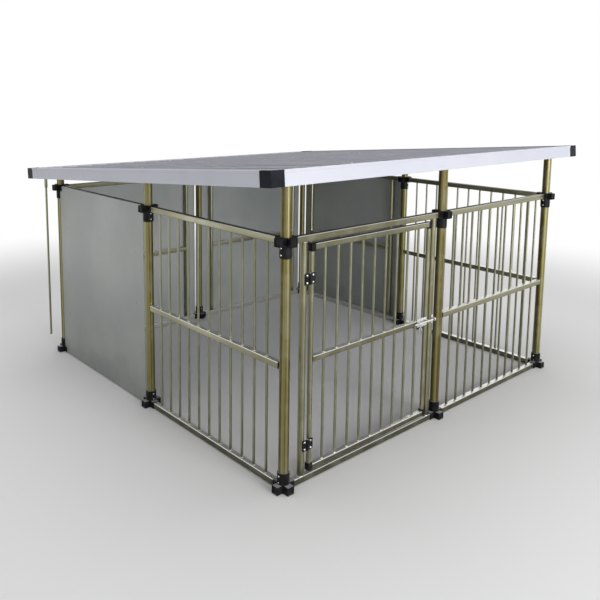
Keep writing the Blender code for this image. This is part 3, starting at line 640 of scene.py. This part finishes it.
def makeConnectorMesh(isFoot, isCorner):
    half, reach, ease = connector["arm"] / 2, connector["reach"], connector["sleeveEase"]
    side = 1 if isFoot else -1
    parts = []
    for direction in ((1, 0, 0), (0, 1, 0)):
        bm = bmesh.new()
        arm = Vector(direction) * reach
        outline = rectOutline(connector["arm"], connector["arm"], connector["armCorner"], 3)
        addBar(bm, -arm, arm, outline, connector["armEase"], side=upward)
        parts.append(meshOf(bm))
    bm = bmesh.new()
    radius, mouth = connector["sleeve"] / 2, half + connector["sleeveLength"]
    lip, lipRadius = mouth - connector["lipHeight"], radius - connector["lipStep"]
    profile = [
        (radius - ease, -half),
        (radius, ease - half),
        (radius, lip - connector["lipSlope"]),
        (lipRadius, lip),
        (lipRadius, mouth - connector["lipEase"]),
        (lipRadius - connector["lipEase"], mouth),
    ]
    addTurned(bm, Matrix.Identity(4), [(out, z * side) for out, z in profile], 48)
    body = combined(combined(parts[0], parts[1], "UNION"), meshOf(bm), "UNION")
    bm = bmesh.new()
    boreStart = -half + connector["floor"] if isFoot else half + cutOver
    addBar(bm, (0, 0, boreStart), (0, 0, (mouth + cutOver) * side), roundOutline(connector["bore"], 48))
    sockets = (0, 90) if isCorner else (0, 180)
    outline = rectOutline(connector["socket"], connector["socket"], connector["socketCorner"], 3)
    for turn in (0, 90, 180, 270):
        angle = math.radians(turn)
        out = Vector((math.cos(angle), math.sin(angle), 0))
        floor = connector["socketFloor"] if turn in sockets else reach - connector["blankDepth"]
        addBar(bm, out * floor, out * (reach + cutOver), outline, side=upward)
    return combined(body, meshOf(bm), "DIFFERENCE")


for postName in postPlaces:
    makePost(postName)
print("posts stand")

connectorMeshes = {}
for isFoot in (True, False):
    for isCorner in (True, False):
        connectorMeshes[isFoot, isCorner] = makeConnectorMesh(isFoot, isCorner)
screwBm = bmesh.new()
for postName, (isCorner, turn, screwSide) in postPlaces.items():
    axis = postAxis(postName)
    out = Vector((*screwSide, 0))
    for isFoot, part in ((True, "foot"), (False, "connector")):
        low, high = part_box(part + "_" + postName)
        half = connector["arm"] / 2
        height = low.z + half if isFoot else high.z - half
        place = Matrix.Translation((axis.x, axis.y, height)) @ Matrix.Rotation(math.radians(turn), 4, "Z")
        look = footLook if isFoot else plasticLook
        stands = [part + "_" + postName]
        addPiece(part + "." + postName, connectorMeshes[isFoot, isCorner], look, stands=stands, place=place)
        for row in connector["screwRows"]:
            away = (half + row) * (1 if isFoot else -1)
            face = connector["sleeve"] / 2 - connector["screwSink"]
            seat = Vector((axis.x, axis.y, height + away)) + out * face
            addScrew(screwBm, seat, out, turn=axis.x * 7 + row * 90)
addPiece("connector_screws", meshOf(screwBm), brightLook)
print("feet and connectors seated")

# panels run along X from one post's axis to the next, seen from outside
grilles = {
    "grille_front": ("front_mid", "front_right"),
    "grille_left": ("mid_left", "front_left"),
    "grille_right": ("front_right", "mid_right"),
}
sheetWalls = {
    "left": ("rear_left", "mid_left"),
    "right": ("mid_right", "rear_right"),
    "rear_left": ("rear_mid", "rear_left"),
    "rear_right": ("rear_right", "rear_mid"),
}
panel = {
    "grilleBars": 11,
    "firstBar": 0.095,
    "railEnd": 0.0248,
    "freeEnd": 0.0235,
    "stile": 0.095,
    "cope": 0.004,  # how far a middle rail reaches into a stile
    "screwHeights": (0.237, tubes["midRailHeight"], 0.7),
    "screw": (0.0042, 0.0018),
    "sheetFace": 0.0013,
    "sheetEase": 0.0003,
}
railHeights = (
    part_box("foot_front_left")[0].z + connector["arm"] / 2,
    tubes["midRailHeight"],
    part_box("connector_front_left")[1].z - connector["arm"] / 2,
)


def panelPlace(first, second):
    start, end = postAxis(first), postAxis(second)
    along = (end - start).normalized()
    turn = Matrix((along, upward.cross(along), upward)).transposed().to_4x4()
    return Matrix.Translation(start) @ turn, (end - start).length


def addRail(bm, start, end, z, y=0, size=tubes["rail"]):
    outline = rectOutline(size, size, tubes["railCorner"])
    addTube(bm, (start, y, z), (end, y, z), outline, tubes["thinWall"], side=upward)


def addEndedRail(bm, length, z, inset=panel["railEnd"]):
    addRail(bm, inset, length - inset, z)


# a solid bar with a weld at both ends
def addRod(bm, x, y, low, high):
    ends = ((x, y, low - tubes["lap"]), (x, y, high + tubes["lap"]))
    addBar(bm, *ends, roundOutline(tubes["bar"], 20))
    for z in (low, high):
        addWeld(bm, (x, y, z), tubes["bar"] / 2)


# the round stiles of a frame, welded between its outer rails
def addStiles(bm, places):
    half = tubes["rail"] / 2
    low, high = railHeights[0] + half, railHeights[2] - half
    for x in places:
        ends = ((x, 0, low - tubes["lap"]), (x, 0, high + tubes["lap"]))
        addTube(bm, *ends, roundOutline(tubes["stile"]), tubes["stileWall"])
        for z in (low, high):
            addWeld(bm, (x, 0, z), tubes["stile"] / 2)


def makeGrille(name, posts):
    place, length = panelPlace(*posts)
    rails, bars = bmesh.new(), bmesh.new()
    for z in (railHeights[0], railHeights[2]):
        addEndedRail(rails, length, z)
    addEndedRail(rails, length, railHeights[1], panel["freeEnd"])
    step = (length - 2 * panel["firstBar"]) / (panel["grilleBars"] - 1)
    half = tubes["rail"] / 2
    for i in range(panel["grilleBars"]):
        for low, high in zip(railHeights, railHeights[1:]):
            addRod(bars, panel["firstBar"] + step * i, 0, low + half, high - half)
    addPiece(name + ".rails", meshOf(rails), railLook, stands=[name], place=place)
    addPiece(name + ".bars", meshOf(bars), barLook, place=place)


for grilleName, posts in grilles.items():
    makeGrille(grilleName, posts)
print("grilles welded")


def makeWall(name, posts):
    place, length = panelPlace(*posts)
    bm = bmesh.new()
    addEndedRail(bm, length, railHeights[0])
    addPiece("wall_sill." + name, meshOf(bm), sillLook, place=place)
    bm = bmesh.new()
    addEndedRail(bm, length, railHeights[2])
    stiles = (panel["stile"], length - panel["stile"])
    addStiles(bm, stiles)
    reach = tubes["stile"] / 2 - panel["cope"]
    addRail(bm, stiles[0] + reach, stiles[1] - reach, railHeights[1])
    addPiece("wall_frame." + name, meshOf(bm), railLook, stands=["wall_frame_" + name], place=place)
    bm = bmesh.new()
    face = tubes["stile"] / 2 + panel["sheetFace"]
    for x in stiles:
        for z in panel["screwHeights"]:
            addScrew(bm, (x, -face, z), outward, *panel["screw"], turn=x + z * 9)
    addPiece("wall_screws." + name, meshOf(bm), sheetLook, place=place)
    finishNode(frame["nodes"]["wall_sheet_" + name], sheetLook, panel["sheetEase"])


for wallName, posts in sheetWalls.items():
    makeWall(wallName, posts)
print("sheet walls closed")

# the door: fixed frame, leaf and its corner pieces; the peg and the spigot go into the leaf's tubes
door = {
    "frameStiles": (0.084, 0.84),
    "leafStiles": (0.122, 0.806),
    "leafStile": 0.019,
    "leafRail": 0.022,
    "leafY": -0.0032,
    "leafBottom": 0.037,
    "leafTop": 0.89,
    "bars": 9,
    "cope": 0.006,
    "cornerHeight": 0.028,
    "cornerWidth": 0.02,
    "cornerDepth": 0.0235,
    "cornerRound": 0.0022,
    "pegInset": 0.0024,
    "pegLength": 0.01,
    "pegRoot": (0.0004, 0.004),  # how much wider and how deep in the block it starts
    "pegDrop": 0.0001,
    "spigot": 0.0184,
    "spigotCorner": 0.002,
    "spigotLength": 0.012,
    "gap": 0.0003,
}
doorPlace, doorWidth = panelPlace("front_left", "front_mid")


def makeDoorFrame():
    bm = bmesh.new()
    for z in (railHeights[0], railHeights[2]):
        addEndedRail(bm, doorWidth, z)
    addStiles(bm, door["frameStiles"])
    addPiece("door_frame.tubes", meshOf(bm), railLook, stands=["door_frame"], place=doorPlace)


def makeDoorLeaf():
    y, rail = door["leafY"], door["leafRail"]
    heights = (door["leafBottom"] + rail / 2, tubes["midRailHeight"], door["leafTop"] - rail / 2)
    left, right = door["leafStiles"]
    inset = door["cornerWidth"] - door["leafStile"] / 2 + door["gap"]
    tubesBm, barsBm = bmesh.new(), bmesh.new()
    for z in (heights[0], heights[2]):
        addRail(tubesBm, left + inset, right - inset, z, y, rail)
    addRail(tubesBm, left + door["cope"], right - door["cope"], heights[1], y, rail)
    low = door["leafBottom"] + door["cornerHeight"] + door["gap"]
    high = door["leafTop"] - door["cornerHeight"] - door["gap"]
    for x in (left, right):
        addTube(tubesBm, (x, y, low), (x, y, high), roundOutline(door["leafStile"]), tubes["thinWall"])
    step = (right - left) / (door["bars"] + 1)
    for i in range(door["bars"]):
        for below, above in zip(heights, heights[1:]):
            addRod(barsBm, left + step * (i + 1), y, below + rail / 2, above - rail / 2)
    addPiece("door_leaf.tubes", meshOf(tubesBm), railLook, "door", ["door_leaf"], doorPlace)
    addPiece("door_leaf.bars", meshOf(barsBm), barLook, "door", place=doorPlace)


# drawn as the top corner at the hinges and mirrored for the others
def makeLeafCorner(name, x, z, isTop, isHinge):
    half, depth, height = door["leafStile"] / 2, door["cornerDepth"] / 2, door["cornerHeight"]
    edge, middle = door["cornerWidth"] - half, -door["leafRail"] / 2
    bm = bmesh.new()
    addBlock(bm, (-half, -depth, -height), (edge, depth, 0), door["cornerRound"], 3)
    peg, (spread, root) = half - door["pegInset"], door["pegRoot"]
    profile = [(peg, -door["pegLength"]), (peg, 0.0), (peg + spread, root)]
    addTurned(bm, Matrix.Translation((0, 0, -height - door["pegDrop"])), profile)
    outline = rectOutline(door["spigot"], door["spigot"], door["spigotCorner"])
    addBar(bm, (0, 0, middle), (edge + door["spigotLength"], 0, middle), outline, side=upward)
    mirror = Matrix.Diagonal((1 if isHinge else -1, 1, 1 if isTop else -1, 1))
    mesh = meshOf(bm)
    mesh.transform(doorPlace @ Matrix.Translation((x, door["leafY"], z)) @ mirror)
    if isHinge != isTop:
        mesh.flip_normals()
    addPiece("leaf_corner." + name, mesh, plasticLook, "door", ["leaf_corner_" + name])


makeDoorFrame()
makeDoorLeaf()
for level, z in (("top", door["leafTop"]), ("bottom", door["leafBottom"])):
    for side, x in zip(("hinge", "latch"), door["leafStiles"]):
        makeLeafCorner(level + "_" + side, x, z, level == "top", side == "hinge")
print("door framed and hung")

# butt hinges: wings with knuckles round a pin on the door's axis; the pin's ends are steps
# out from its side and up from the knuckles' ends
hinge = {
    "height": 0.042,
    "wing": 0.026,
    "plate": 0.002,
    "barrel": 0.0085,
    "pin": 0.004,
    "pinFoot": ((-0.0005, -0.0008), (0, -0.0003)),
    "pinHead": ((0, 0), (0.0007, 0.0001), (0.0007, 0.0007), (0.0003, 0.0013), (-0.0012, 0.0015)),
    "corner": 0.003,
    "web": 0.002,
    "webShare": 0.375,
    "webInset": 0.0006,
    "webSink": 0.0001,
    "webEase": 0.0002,
    "screwX": 0.0145,
    "screwZ": 0.0135,
    "screw": (0.0042, 0.0023),
    "gap": 0.0003,
}
pinAxis = Vector(frame["joints"][0]["pos_m"][:2] + [0])


def makeHingeWing(name, height, isFrame):
    half, third, play = hinge["height"] / 2, hinge["height"] / 6, hinge["gap"] / 2
    side = -1 if isFrame else 1
    near = hinge["barrel"] / 2 + hinge["gap"]
    bm = bmesh.new()
    outline = rectOutline(hinge["wing"] - near, hinge["height"], hinge["corner"])
    middle = side * (hinge["wing"] + near) / 2
    addBar(bm, (middle, 0, 0), (middle, hinge["plate"], 0), outline, side=(1, 0, 0))
    knuckles = ((-half, -third - play), (third + play, half)) if isFrame else ((play - third, third - play),)
    wall = (hinge["barrel"] - hinge["pin"]) / 2 - hinge["gap"]
    inset, sink = hinge["webInset"], hinge["webSink"]
    left, right = sorted((side * hinge["barrel"] * hinge["webShare"], side * (near + hinge["web"])))
    for low, high in knuckles:
        addTube(bm, (0, 0, low), (0, 0, high), roundOutline(hinge["barrel"]), wall)
        end = (right, hinge["plate"] - sink, high - inset)
        addBlock(bm, (left, sink, low + inset), end, hinge["webEase"], 1)
    body, node = "frame" if isFrame else "door", name.replace(".", "_", 1)
    addPiece(name, meshOf(bm), plasticLook, body, [node], Matrix.Translation(pinAxis + upward * height))


def makeHinge(level):
    height = middleOf("hinge_" + level + "_leaf_wing").z
    makeHingeWing("hinge." + level + "_frame_wing", height, True)
    makeHingeWing("hinge." + level + "_leaf_wing", height, False)
    bm = bmesh.new()
    half, radius = hinge["height"] / 2, hinge["pin"] / 2
    profile = [(radius + out, up - half) for out, up in hinge["pinFoot"]]
    profile += [(radius + out, up + half) for out, up in hinge["pinHead"]]
    addTurned(bm, Matrix.Translation(pinAxis + upward * height), profile, 24)
    addPiece("hinge_pin." + level, meshOf(bm), brightLook)
    for side, wing, body in ((-1, "_frame", "frame"), (1, "_leaf", "door")):
        bm = bmesh.new()
        for up in (-1, 1):
            seat = pinAxis + Vector((side * hinge["screwX"], -screws["sink"], height + up * hinge["screwZ"]))
            addScrew(bm, seat, outward, *hinge["screw"], turn=up + side * 0.4)
        addPiece("hinge_screws." + level + wing, meshOf(bm), brightLook, body)


for level in ("lower", "upper"):
    makeHinge(level)
print("hinges screwed on")

# barrel bolt: the handle is thick, wide and dropped below the axis, the eye has a hole and an outside
latch = {
    "bolt": 0.008,
    "boltEase": 0.0012,
    "play": 0.0004,
    "keeperPlay": 0.002,
    "wall": 0.002,
    "plate": 0.0015,
    "plateCorner": 0.004,
    "keeperCorner": 0.003,
    "plateHeight": 0.036,
    "length": 0.065,
    "guide": 0.008,
    "guideSink": 0.0005,
    "cheekShare": 0.3,  # of the bore, where a guide's cheeks start
    "standOff": 0.0085,
    "handle": (0.003, 0.007, 0.026),
    "handleFoot": 0.006,
    "handleEase": 0.0008,
    "eye": (0.008, 0.016),
    "eyeEase": 0.0007,
    "baseScrew": (0.0032, 0.0018),
    "screwInset": (0.016, 0.0125),
    "keeperScrew": (0.003, 0.0017),
    "keeperRise": 0.0135,
    "ease": 0.0003,
}


def addPlate(bm, centre, width, height, corner):
    back = centre - Vector((0, latch["plate"], 0))
    addBar(bm, back, centre, rectOutline(width, height, corner), latch["ease"], side=(1, 0, 0))


def addGuide(bm, low, high, axis, play, depth):
    bore = latch["bolt"] + 2 * play
    outer = bore + 2 * latch["wall"]
    start, end = axis + Vector((low, 0, 0)), axis + Vector((high, 0, 0))
    addTube(bm, start, end, roundOutline(outer), latch["wall"], latch["ease"])
    for side in (-1, 1):
        below, above = sorted((side * (outer / 2 - latch["wall"]), side * outer / 2))
        near = start + Vector((0, bore * latch["cheekShare"], below))
        addBlock(bm, near, end + Vector((0, depth, above)), latch["ease"])


def makeLatch():
    low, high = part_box("latch_base")
    boltLow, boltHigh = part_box("latch_bolt")
    keepLow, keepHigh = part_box("latch_keeper")
    axis = Vector((high.x, high.y - latch["plate"] - latch["standOff"], (low.z + high.z) / 2))
    bm = bmesh.new()
    centre = Vector(((low.x + high.x) / 2, high.y, axis.z))
    addPlate(bm, centre, high.x - low.x, high.z - low.z, latch["plateCorner"])
    depth = latch["standOff"] + latch["guideSink"]
    for start in (-latch["length"], -latch["guide"]):
        addGuide(bm, start, start + latch["guide"], axis, latch["play"], depth)
    addPiece("latch.base", meshOf(bm), brightLook, "door", ["latch_base"])
    bm = bmesh.new()
    inset, rise = latch["screwInset"]
    for x in (low.x + inset, high.x - inset):
        for up in (-1, 1):
            seat = (x, high.y - latch["plate"] - screws["sink"], axis.z + up * rise)
            addScrew(bm, seat, outward, *latch["baseScrew"], turn=x * 30)
    addPiece("latch.screws", meshOf(bm), brightLook, "door")
    bm = bmesh.new()
    ends = ((boltLow.x, axis.y, axis.z), (boltHigh.x, axis.y, axis.z))
    addBar(bm, *ends, roundOutline(latch["bolt"]), latch["boltEase"])
    thick, width, drop = latch["handle"]
    left = low.x + latch["guide"] + thick
    foot = (left, axis.y - width / 2, axis.z - drop + latch["handleFoot"])
    addBlock(bm, foot, (left + thick, axis.y + width / 2, axis.z), latch["handleEase"])
    hole, outer = latch["eye"]
    place = Vector((left, axis.y, axis.z - drop))
    ends = (place, place + Vector((thick, 0, 0)))
    addTube(bm, *ends, roundOutline(outer, 40), (outer - hole) / 2, latch["eyeEase"])
    addPiece("latch.bolt", meshOf(bm), brightLook, "bolt", ["latch_bolt"])
    bm = bmesh.new()
    centre = Vector(((keepLow.x + keepHigh.x) / 2, keepHigh.y, axis.z))
    addPlate(bm, centre, keepHigh.x - keepLow.x, latch["plateHeight"], latch["keeperCorner"])
    ring, half = Vector((centre.x, axis.y, axis.z)), latch["guide"] / 2
    addGuide(bm, -half, half, ring, latch["keeperPlay"], keepHigh.y - axis.y - latch["plate"] / 2)
    for up in (-1, 1):
        seat = (centre.x, keepHigh.y - latch["plate"] - screws["sink"], axis.z + up * latch["keeperRise"])
        addScrew(bm, seat, outward, *latch["keeperScrew"])
    addPiece("latch.keeper", meshOf(bm), brightLook, "frame", ["latch_keeper"])


makeLatch()
print("latch fitted")

# the roof is drawn from its front top edge and tilted by the pitch; profiles are radius and height
roof = {
    "edgeHeight": 0.056,
    "edgeWall": 0.002,
    "bead": 0.009,
    "beadRise": 0.0015,
    "cornerLeg": 0.0583,
    "gutterWidth": 0.042,
    "gutterInner": 0.026,
    "endPlateGap": 0.003,
    "endPlateEase": 0.0003,
    "ribPitch": 0.088,
    "ribHeight": 0.009,
    "ribTop": 0.02,
    "ribSlope": 0.008,
    "foldRadius": 0.0022,
    "foldSteps": 3,
    "foldShare": 0.45,  # of a flat, at most, for the fold at its end
    "sheet": 0.0006,
    "sheetMargin": 0.005,
    "sheetRows": 8,
    "gutterLap": 0.021,
    "base": -0.0134,
    "beamRows": ("front", "mid", "rear"),
    "screwEvery": 4,
    "washer": ((0.0075, -0.0002), (0.0075, 0.0006), (0.0066, 0.0012), (0.005, 0.0014)),
    "hexHead": ((0.0046, 0.0012), (0.0046, 0.003), (0.004, 0.0038), (0.002, 0.004)),
    "eases": {"edge": 0.0006, "corner": 0.0009, "beam": 0.0008, "gutter": 0.0005},
}
drain = {
    "inset": 0.09,
    "pipe": 0.011,
    "pipeTop": 0.03,
    "collar": 0.016,
    "collarWall": 0.0024,
    "collarEase": 0.0008,
    "collarLength": 0.055,
    "collarLap": 0.0006,
}
cornerLow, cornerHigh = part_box("roof_corner_front_left")
roofWidth = 2 * abs(cornerLow.x)
frontEdge = Vector((0, cornerLow.y + roof["edgeHeight"] * math.sin(roofPitch), cornerHigh.z))
roofPlace = Matrix.Translation(frontEdge) @ Matrix.Rotation(-roofPitch, 4, "X")
roofDepth = (cadBox[1].y - roofPlace.translation.y) / math.cos(roofPitch)


def foldedLine(points):
    made = [points[0]]
    for before, corner, after in zip(points, points[1:], points[2:]):
        back, ahead = before - corner, after - corner
        reach = roof["foldRadius"] * math.tan((math.pi - back.angle(ahead)) / 2)
        reach = min(reach, roof["foldShare"] * back.length, roof["foldShare"] * ahead.length)
        first, last = corner + back.normalized() * reach, corner + ahead.normalized() * reach
        for i in range(roof["foldSteps"] + 1):
            share = i / roof["foldSteps"]
            made.append(first.lerp(corner, share).lerp(corner.lerp(last, share), share))
    made.append(points[-1])
    return made


def makeRoofing():
    half = roofWidth / 2 - roof["sheetMargin"]
    span = 2 * half - roof["ribTop"] - 2 * roof["ribSlope"]
    count = int(span / roof["ribPitch"]) + 1
    centres = [roof["ribPitch"] * (i - (count - 1) / 2) for i in range(count)]
    top, foot = roof["ribTop"] / 2, roof["ribTop"] / 2 + roof["ribSlope"]
    corners = [(-half, 0)]
    for x in centres:
        corners += [(x - foot, 0), (x - top, roof["ribHeight"]), (x + top, roof["ribHeight"]), (x + foot, 0)]
    corners.append((half, 0))
    line = foldedLine([Vector(point) for point in corners])
    start, end = roof["sheetMargin"], roofDepth - roof["gutterLap"]
    bm = bmesh.new()
    rows = []
    for i in range(roof["sheetRows"] + 1):
        y = start + (end - start) * i / roof["sheetRows"]
        rows.append([bm.verts.new((p.x, y, roof["base"] + p.y)) for p in line])
    for near, far in zip(rows, rows[1:]):
        for quad in zip(near, near[1:], far[1:], far):
            bm.faces.new(quad)
    bm.normal_update()

    def setUp(work):
        thick = work.modifiers.new("thick", "SOLIDIFY")
        thick.thickness = roof["sheet"]
        thick.offset = 1.0

    mesh = evaluated(meshOf(bm, closed=False), setUp)
    addPiece("roofing.sheet", mesh, roofLook, stands=["roof_sheet"], place=roofPlace)
    bm = bmesh.new()
    for row in roof["beamRows"]:
        y = (roofPlace.inverted() @ middleOf("roof_beam_" + row)).y
        for x in centres[1 :: roof["screwEvery"]]:
            place = Matrix.Translation((x, y, roof["base"] + roof["ribHeight"] + roof["sheet"]))
            addTurned(bm, place, roof["washer"], 24)
            addTurned(bm, place, roof["hexHead"], 6)
    addPiece("roofing.screws", meshOf(bm), sheetLook, place=roofPlace)


def makeGutter():
    high, wall, width = roof["edgeHeight"], roof["edgeWall"], roof["gutterWidth"]
    rise, bead, lip = roof["beadRise"], roof["bead"], roof["gutterInner"] - high
    inner = rise + wall
    outline = [
        (0, 0), (0, -bead), (rise, -bead - rise), (rise, -high), (width, -high), (width, lip),
        (width - wall, lip), (width - wall, -high + wall), (inner, -high + wall), (inner, 0),
    ]
    half = roofWidth / 2 - roof["cornerLeg"]
    bm = bmesh.new()
    skin(bm, [[Vector((x, y, z)) for y, z in outline] for x in (-half, half)])
    for side in (-1, 1):
        left, right = sorted((side * (half - wall), side * (half - 2 * wall)))
        start = (left, inner + roof["endPlateGap"], -high + wall / 2)
        addBlock(bm, start, (right, width - wall / 2, lip - wall), roof["endPlateEase"], 1)
    trough = evaluated(meshOf(bm), lambda work: addSoftening(work, roof["eases"]["gutter"]))
    facing = Matrix.Translation((0, roofDepth, 0)) @ Matrix.Rotation(math.pi, 4, "Z")
    addPiece("gutter.trough", trough, edgeLook, stands=["roof_gutter"], place=roofPlace @ facing)
    x, y = drain["inset"] - roofWidth / 2, cadBox[1].y - width / 2
    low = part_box("roof_gutter")[0].z
    top = (roofPlace @ Vector((0, roofDepth - width / 2, -high))).z
    bm = bmesh.new()
    ends = ((x, y, low), (x, y, top - drain["pipeTop"]))
    addTube(bm, *ends, roundOutline(drain["pipe"], 28), tubes["thinWall"])
    addPiece("drain.pipe", meshOf(bm), railLook)
    bm = bmesh.new()
    ends = ((x, y, top - drain["collarLength"]), (x, y, top + drain["collarLap"]))
    addTube(bm, *ends, roundOutline(drain["collar"]), drain["collarWall"], drain["collarEase"])
    addPiece("drain.collar", meshOf(bm), railLook)


makeRoofing()
makeGutter()
for edgeName in ("front", "left", "right"):
    finishNode(frame["nodes"]["roof_edge_" + edgeName], edgeLook, roof["eases"]["edge"])
for cornerName in ("front_left", "front_right", "rear_left", "rear_right"):
    finishNode(frame["nodes"]["roof_corner_" + cornerName], capLook, roof["eases"]["corner"])
for beamName in roof["beamRows"]:
    finishNode(frame["nodes"]["roof_beam_" + beamName], railLook, roof["eases"]["beam"])
print("roof closed")

# camera at the photograph's angle; focal length and centre are in pixels of the square frame
view = {
    "frame": 600,
    "focal": 683.8,
    "centre": (271.3, 190.2),
    "place": (-2.446, -2.602, 1.397),
    "yaw": -41.147,
    "pitch": 7.682,
    "roll": 0.496,
}


def makeCamera():
    lens = bpy.data.cameras.new("camera")
    lens.sensor_width = 36.0
    lens.lens = lens.sensor_width * view["focal"] / view["frame"]
    lens.shift_x = 0.5 - view["centre"][0] / view["frame"]
    lens.shift_y = view["centre"][1] / view["frame"] - 0.5
    lens.clip_start, lens.clip_end = 0.05, 100
    camera = addObject("camera", lens)
    turn = Matrix.Rotation(math.radians(view["yaw"]), 4, "Z")
    tilt = Matrix.Rotation(math.radians(90 - view["pitch"]), 4, "X")
    roll = Matrix.Rotation(math.radians(view["roll"]), 4, "Z")
    camera.matrix_world = Matrix.Translation(view["place"]) @ turn @ tilt @ roll
    bpy.context.scene.camera = camera


# soft studio light on a pale floor that fades into the background
studio = {
    "floorSize": 30.0,
    "floorColour": (0.84, 0.84, 0.84, 1),
    "floorRoughness": 0.9,
    "fade": (2.2, 4.2),  # distances from the middle
    "worldStrength": 0.5,
    "aim": (0, 0, 0.5),
    "lamps": {
        "key": {"place": (-0.6, -7.0, 1.7), "size": 3.0, "power": 285},
        "above": {"place": (0.0, 0.5, 6.5), "size": 5.0, "power": 110},
    },
}


def seenBy(tree, *rays):
    path = addNode(tree, "ShaderNodeLightPath").outputs
    seen = path[rays[0]]
    for ray in rays[1:]:
        seen = mathNode(tree, "MAXIMUM", seen, path[ray])
    return seen


def makeFloor():
    bm = bmesh.new()
    bmesh.ops.create_grid(bm, x_segments=4, y_segments=4, size=studio["floorSize"])
    mesh = meshOf(bm, "floor", closed=False)
    floor = addObject("floor", mesh)
    made = bpy.data.materials.new("floorPaper")
    made.use_nodes = True
    tree = made.node_tree
    shader = tree.nodes["Principled BSDF"]
    shader.inputs["Base Color"].default_value = studio["floorColour"]
    shader.inputs["Roughness"].default_value = studio["floorRoughness"]
    length = addNode(tree, "ShaderNodeVectorMath", {"operation": "LENGTH"})
    tree.links.new(addNode(tree, "ShaderNodeTexCoord").outputs["Object"], length.inputs[0])
    near, far = studio["fade"]
    smooth = {"interpolation_type": "SMOOTHSTEP"}
    fade = addNode(tree, "ShaderNodeMapRange", smooth, {"From Min": near, "From Max": far})
    tree.links.new(length.outputs["Value"], fade.inputs["Value"])
    seen = seenBy(tree, "Is Camera Ray", "Is Glossy Ray")
    glow = addNode(tree, "ShaderNodeEmission", values={"Color": (1, 1, 1, 1), "Strength": 1.0})
    mix = addNode(tree, "ShaderNodeMixShader")
    tree.links.new(mathNode(tree, "MULTIPLY", fade.outputs[0], seen), mix.inputs[0])
    tree.links.new(shader.outputs[0], mix.inputs[1])
    tree.links.new(glow.outputs[0], mix.inputs[2])
    tree.links.new(mix.outputs[0], tree.nodes["Material Output"].inputs["Surface"])
    mesh.materials.append(made)


def makeWorld():
    world = bpy.data.worlds.new("studio")
    bpy.context.scene.world = world
    world.use_nodes = True
    tree = world.node_tree
    back = tree.nodes["Background"]
    back.inputs["Color"].default_value = (1, 1, 1, 1)
    seen = seenBy(tree, "Is Camera Ray", "Is Transmission Ray", "Is Glossy Ray")
    strength = addNode(tree, "ShaderNodeMapRange", values={"To Min": studio["worldStrength"], "To Max": 1.0})
    tree.links.new(seen, strength.inputs["Value"])
    tree.links.new(strength.outputs[0], back.inputs["Strength"])


def makeLamps():
    for name, lamp in studio["lamps"].items():
        data = bpy.data.lights.new(name, "AREA")
        data.size = lamp["size"]
        data.energy = lamp["power"]
        place = Vector(lamp["place"])
        turn = (place - Vector(studio["aim"])).to_track_quat("Z", "Y")
        addObject(name, data).matrix_world = Matrix.Translation(place) @ turn.to_matrix().to_4x4()


makeCamera()
makeFloor()
makeWorld()
makeLamps()
bpy.context.scene.view_settings.view_transform = "Standard"
print("studio lit")
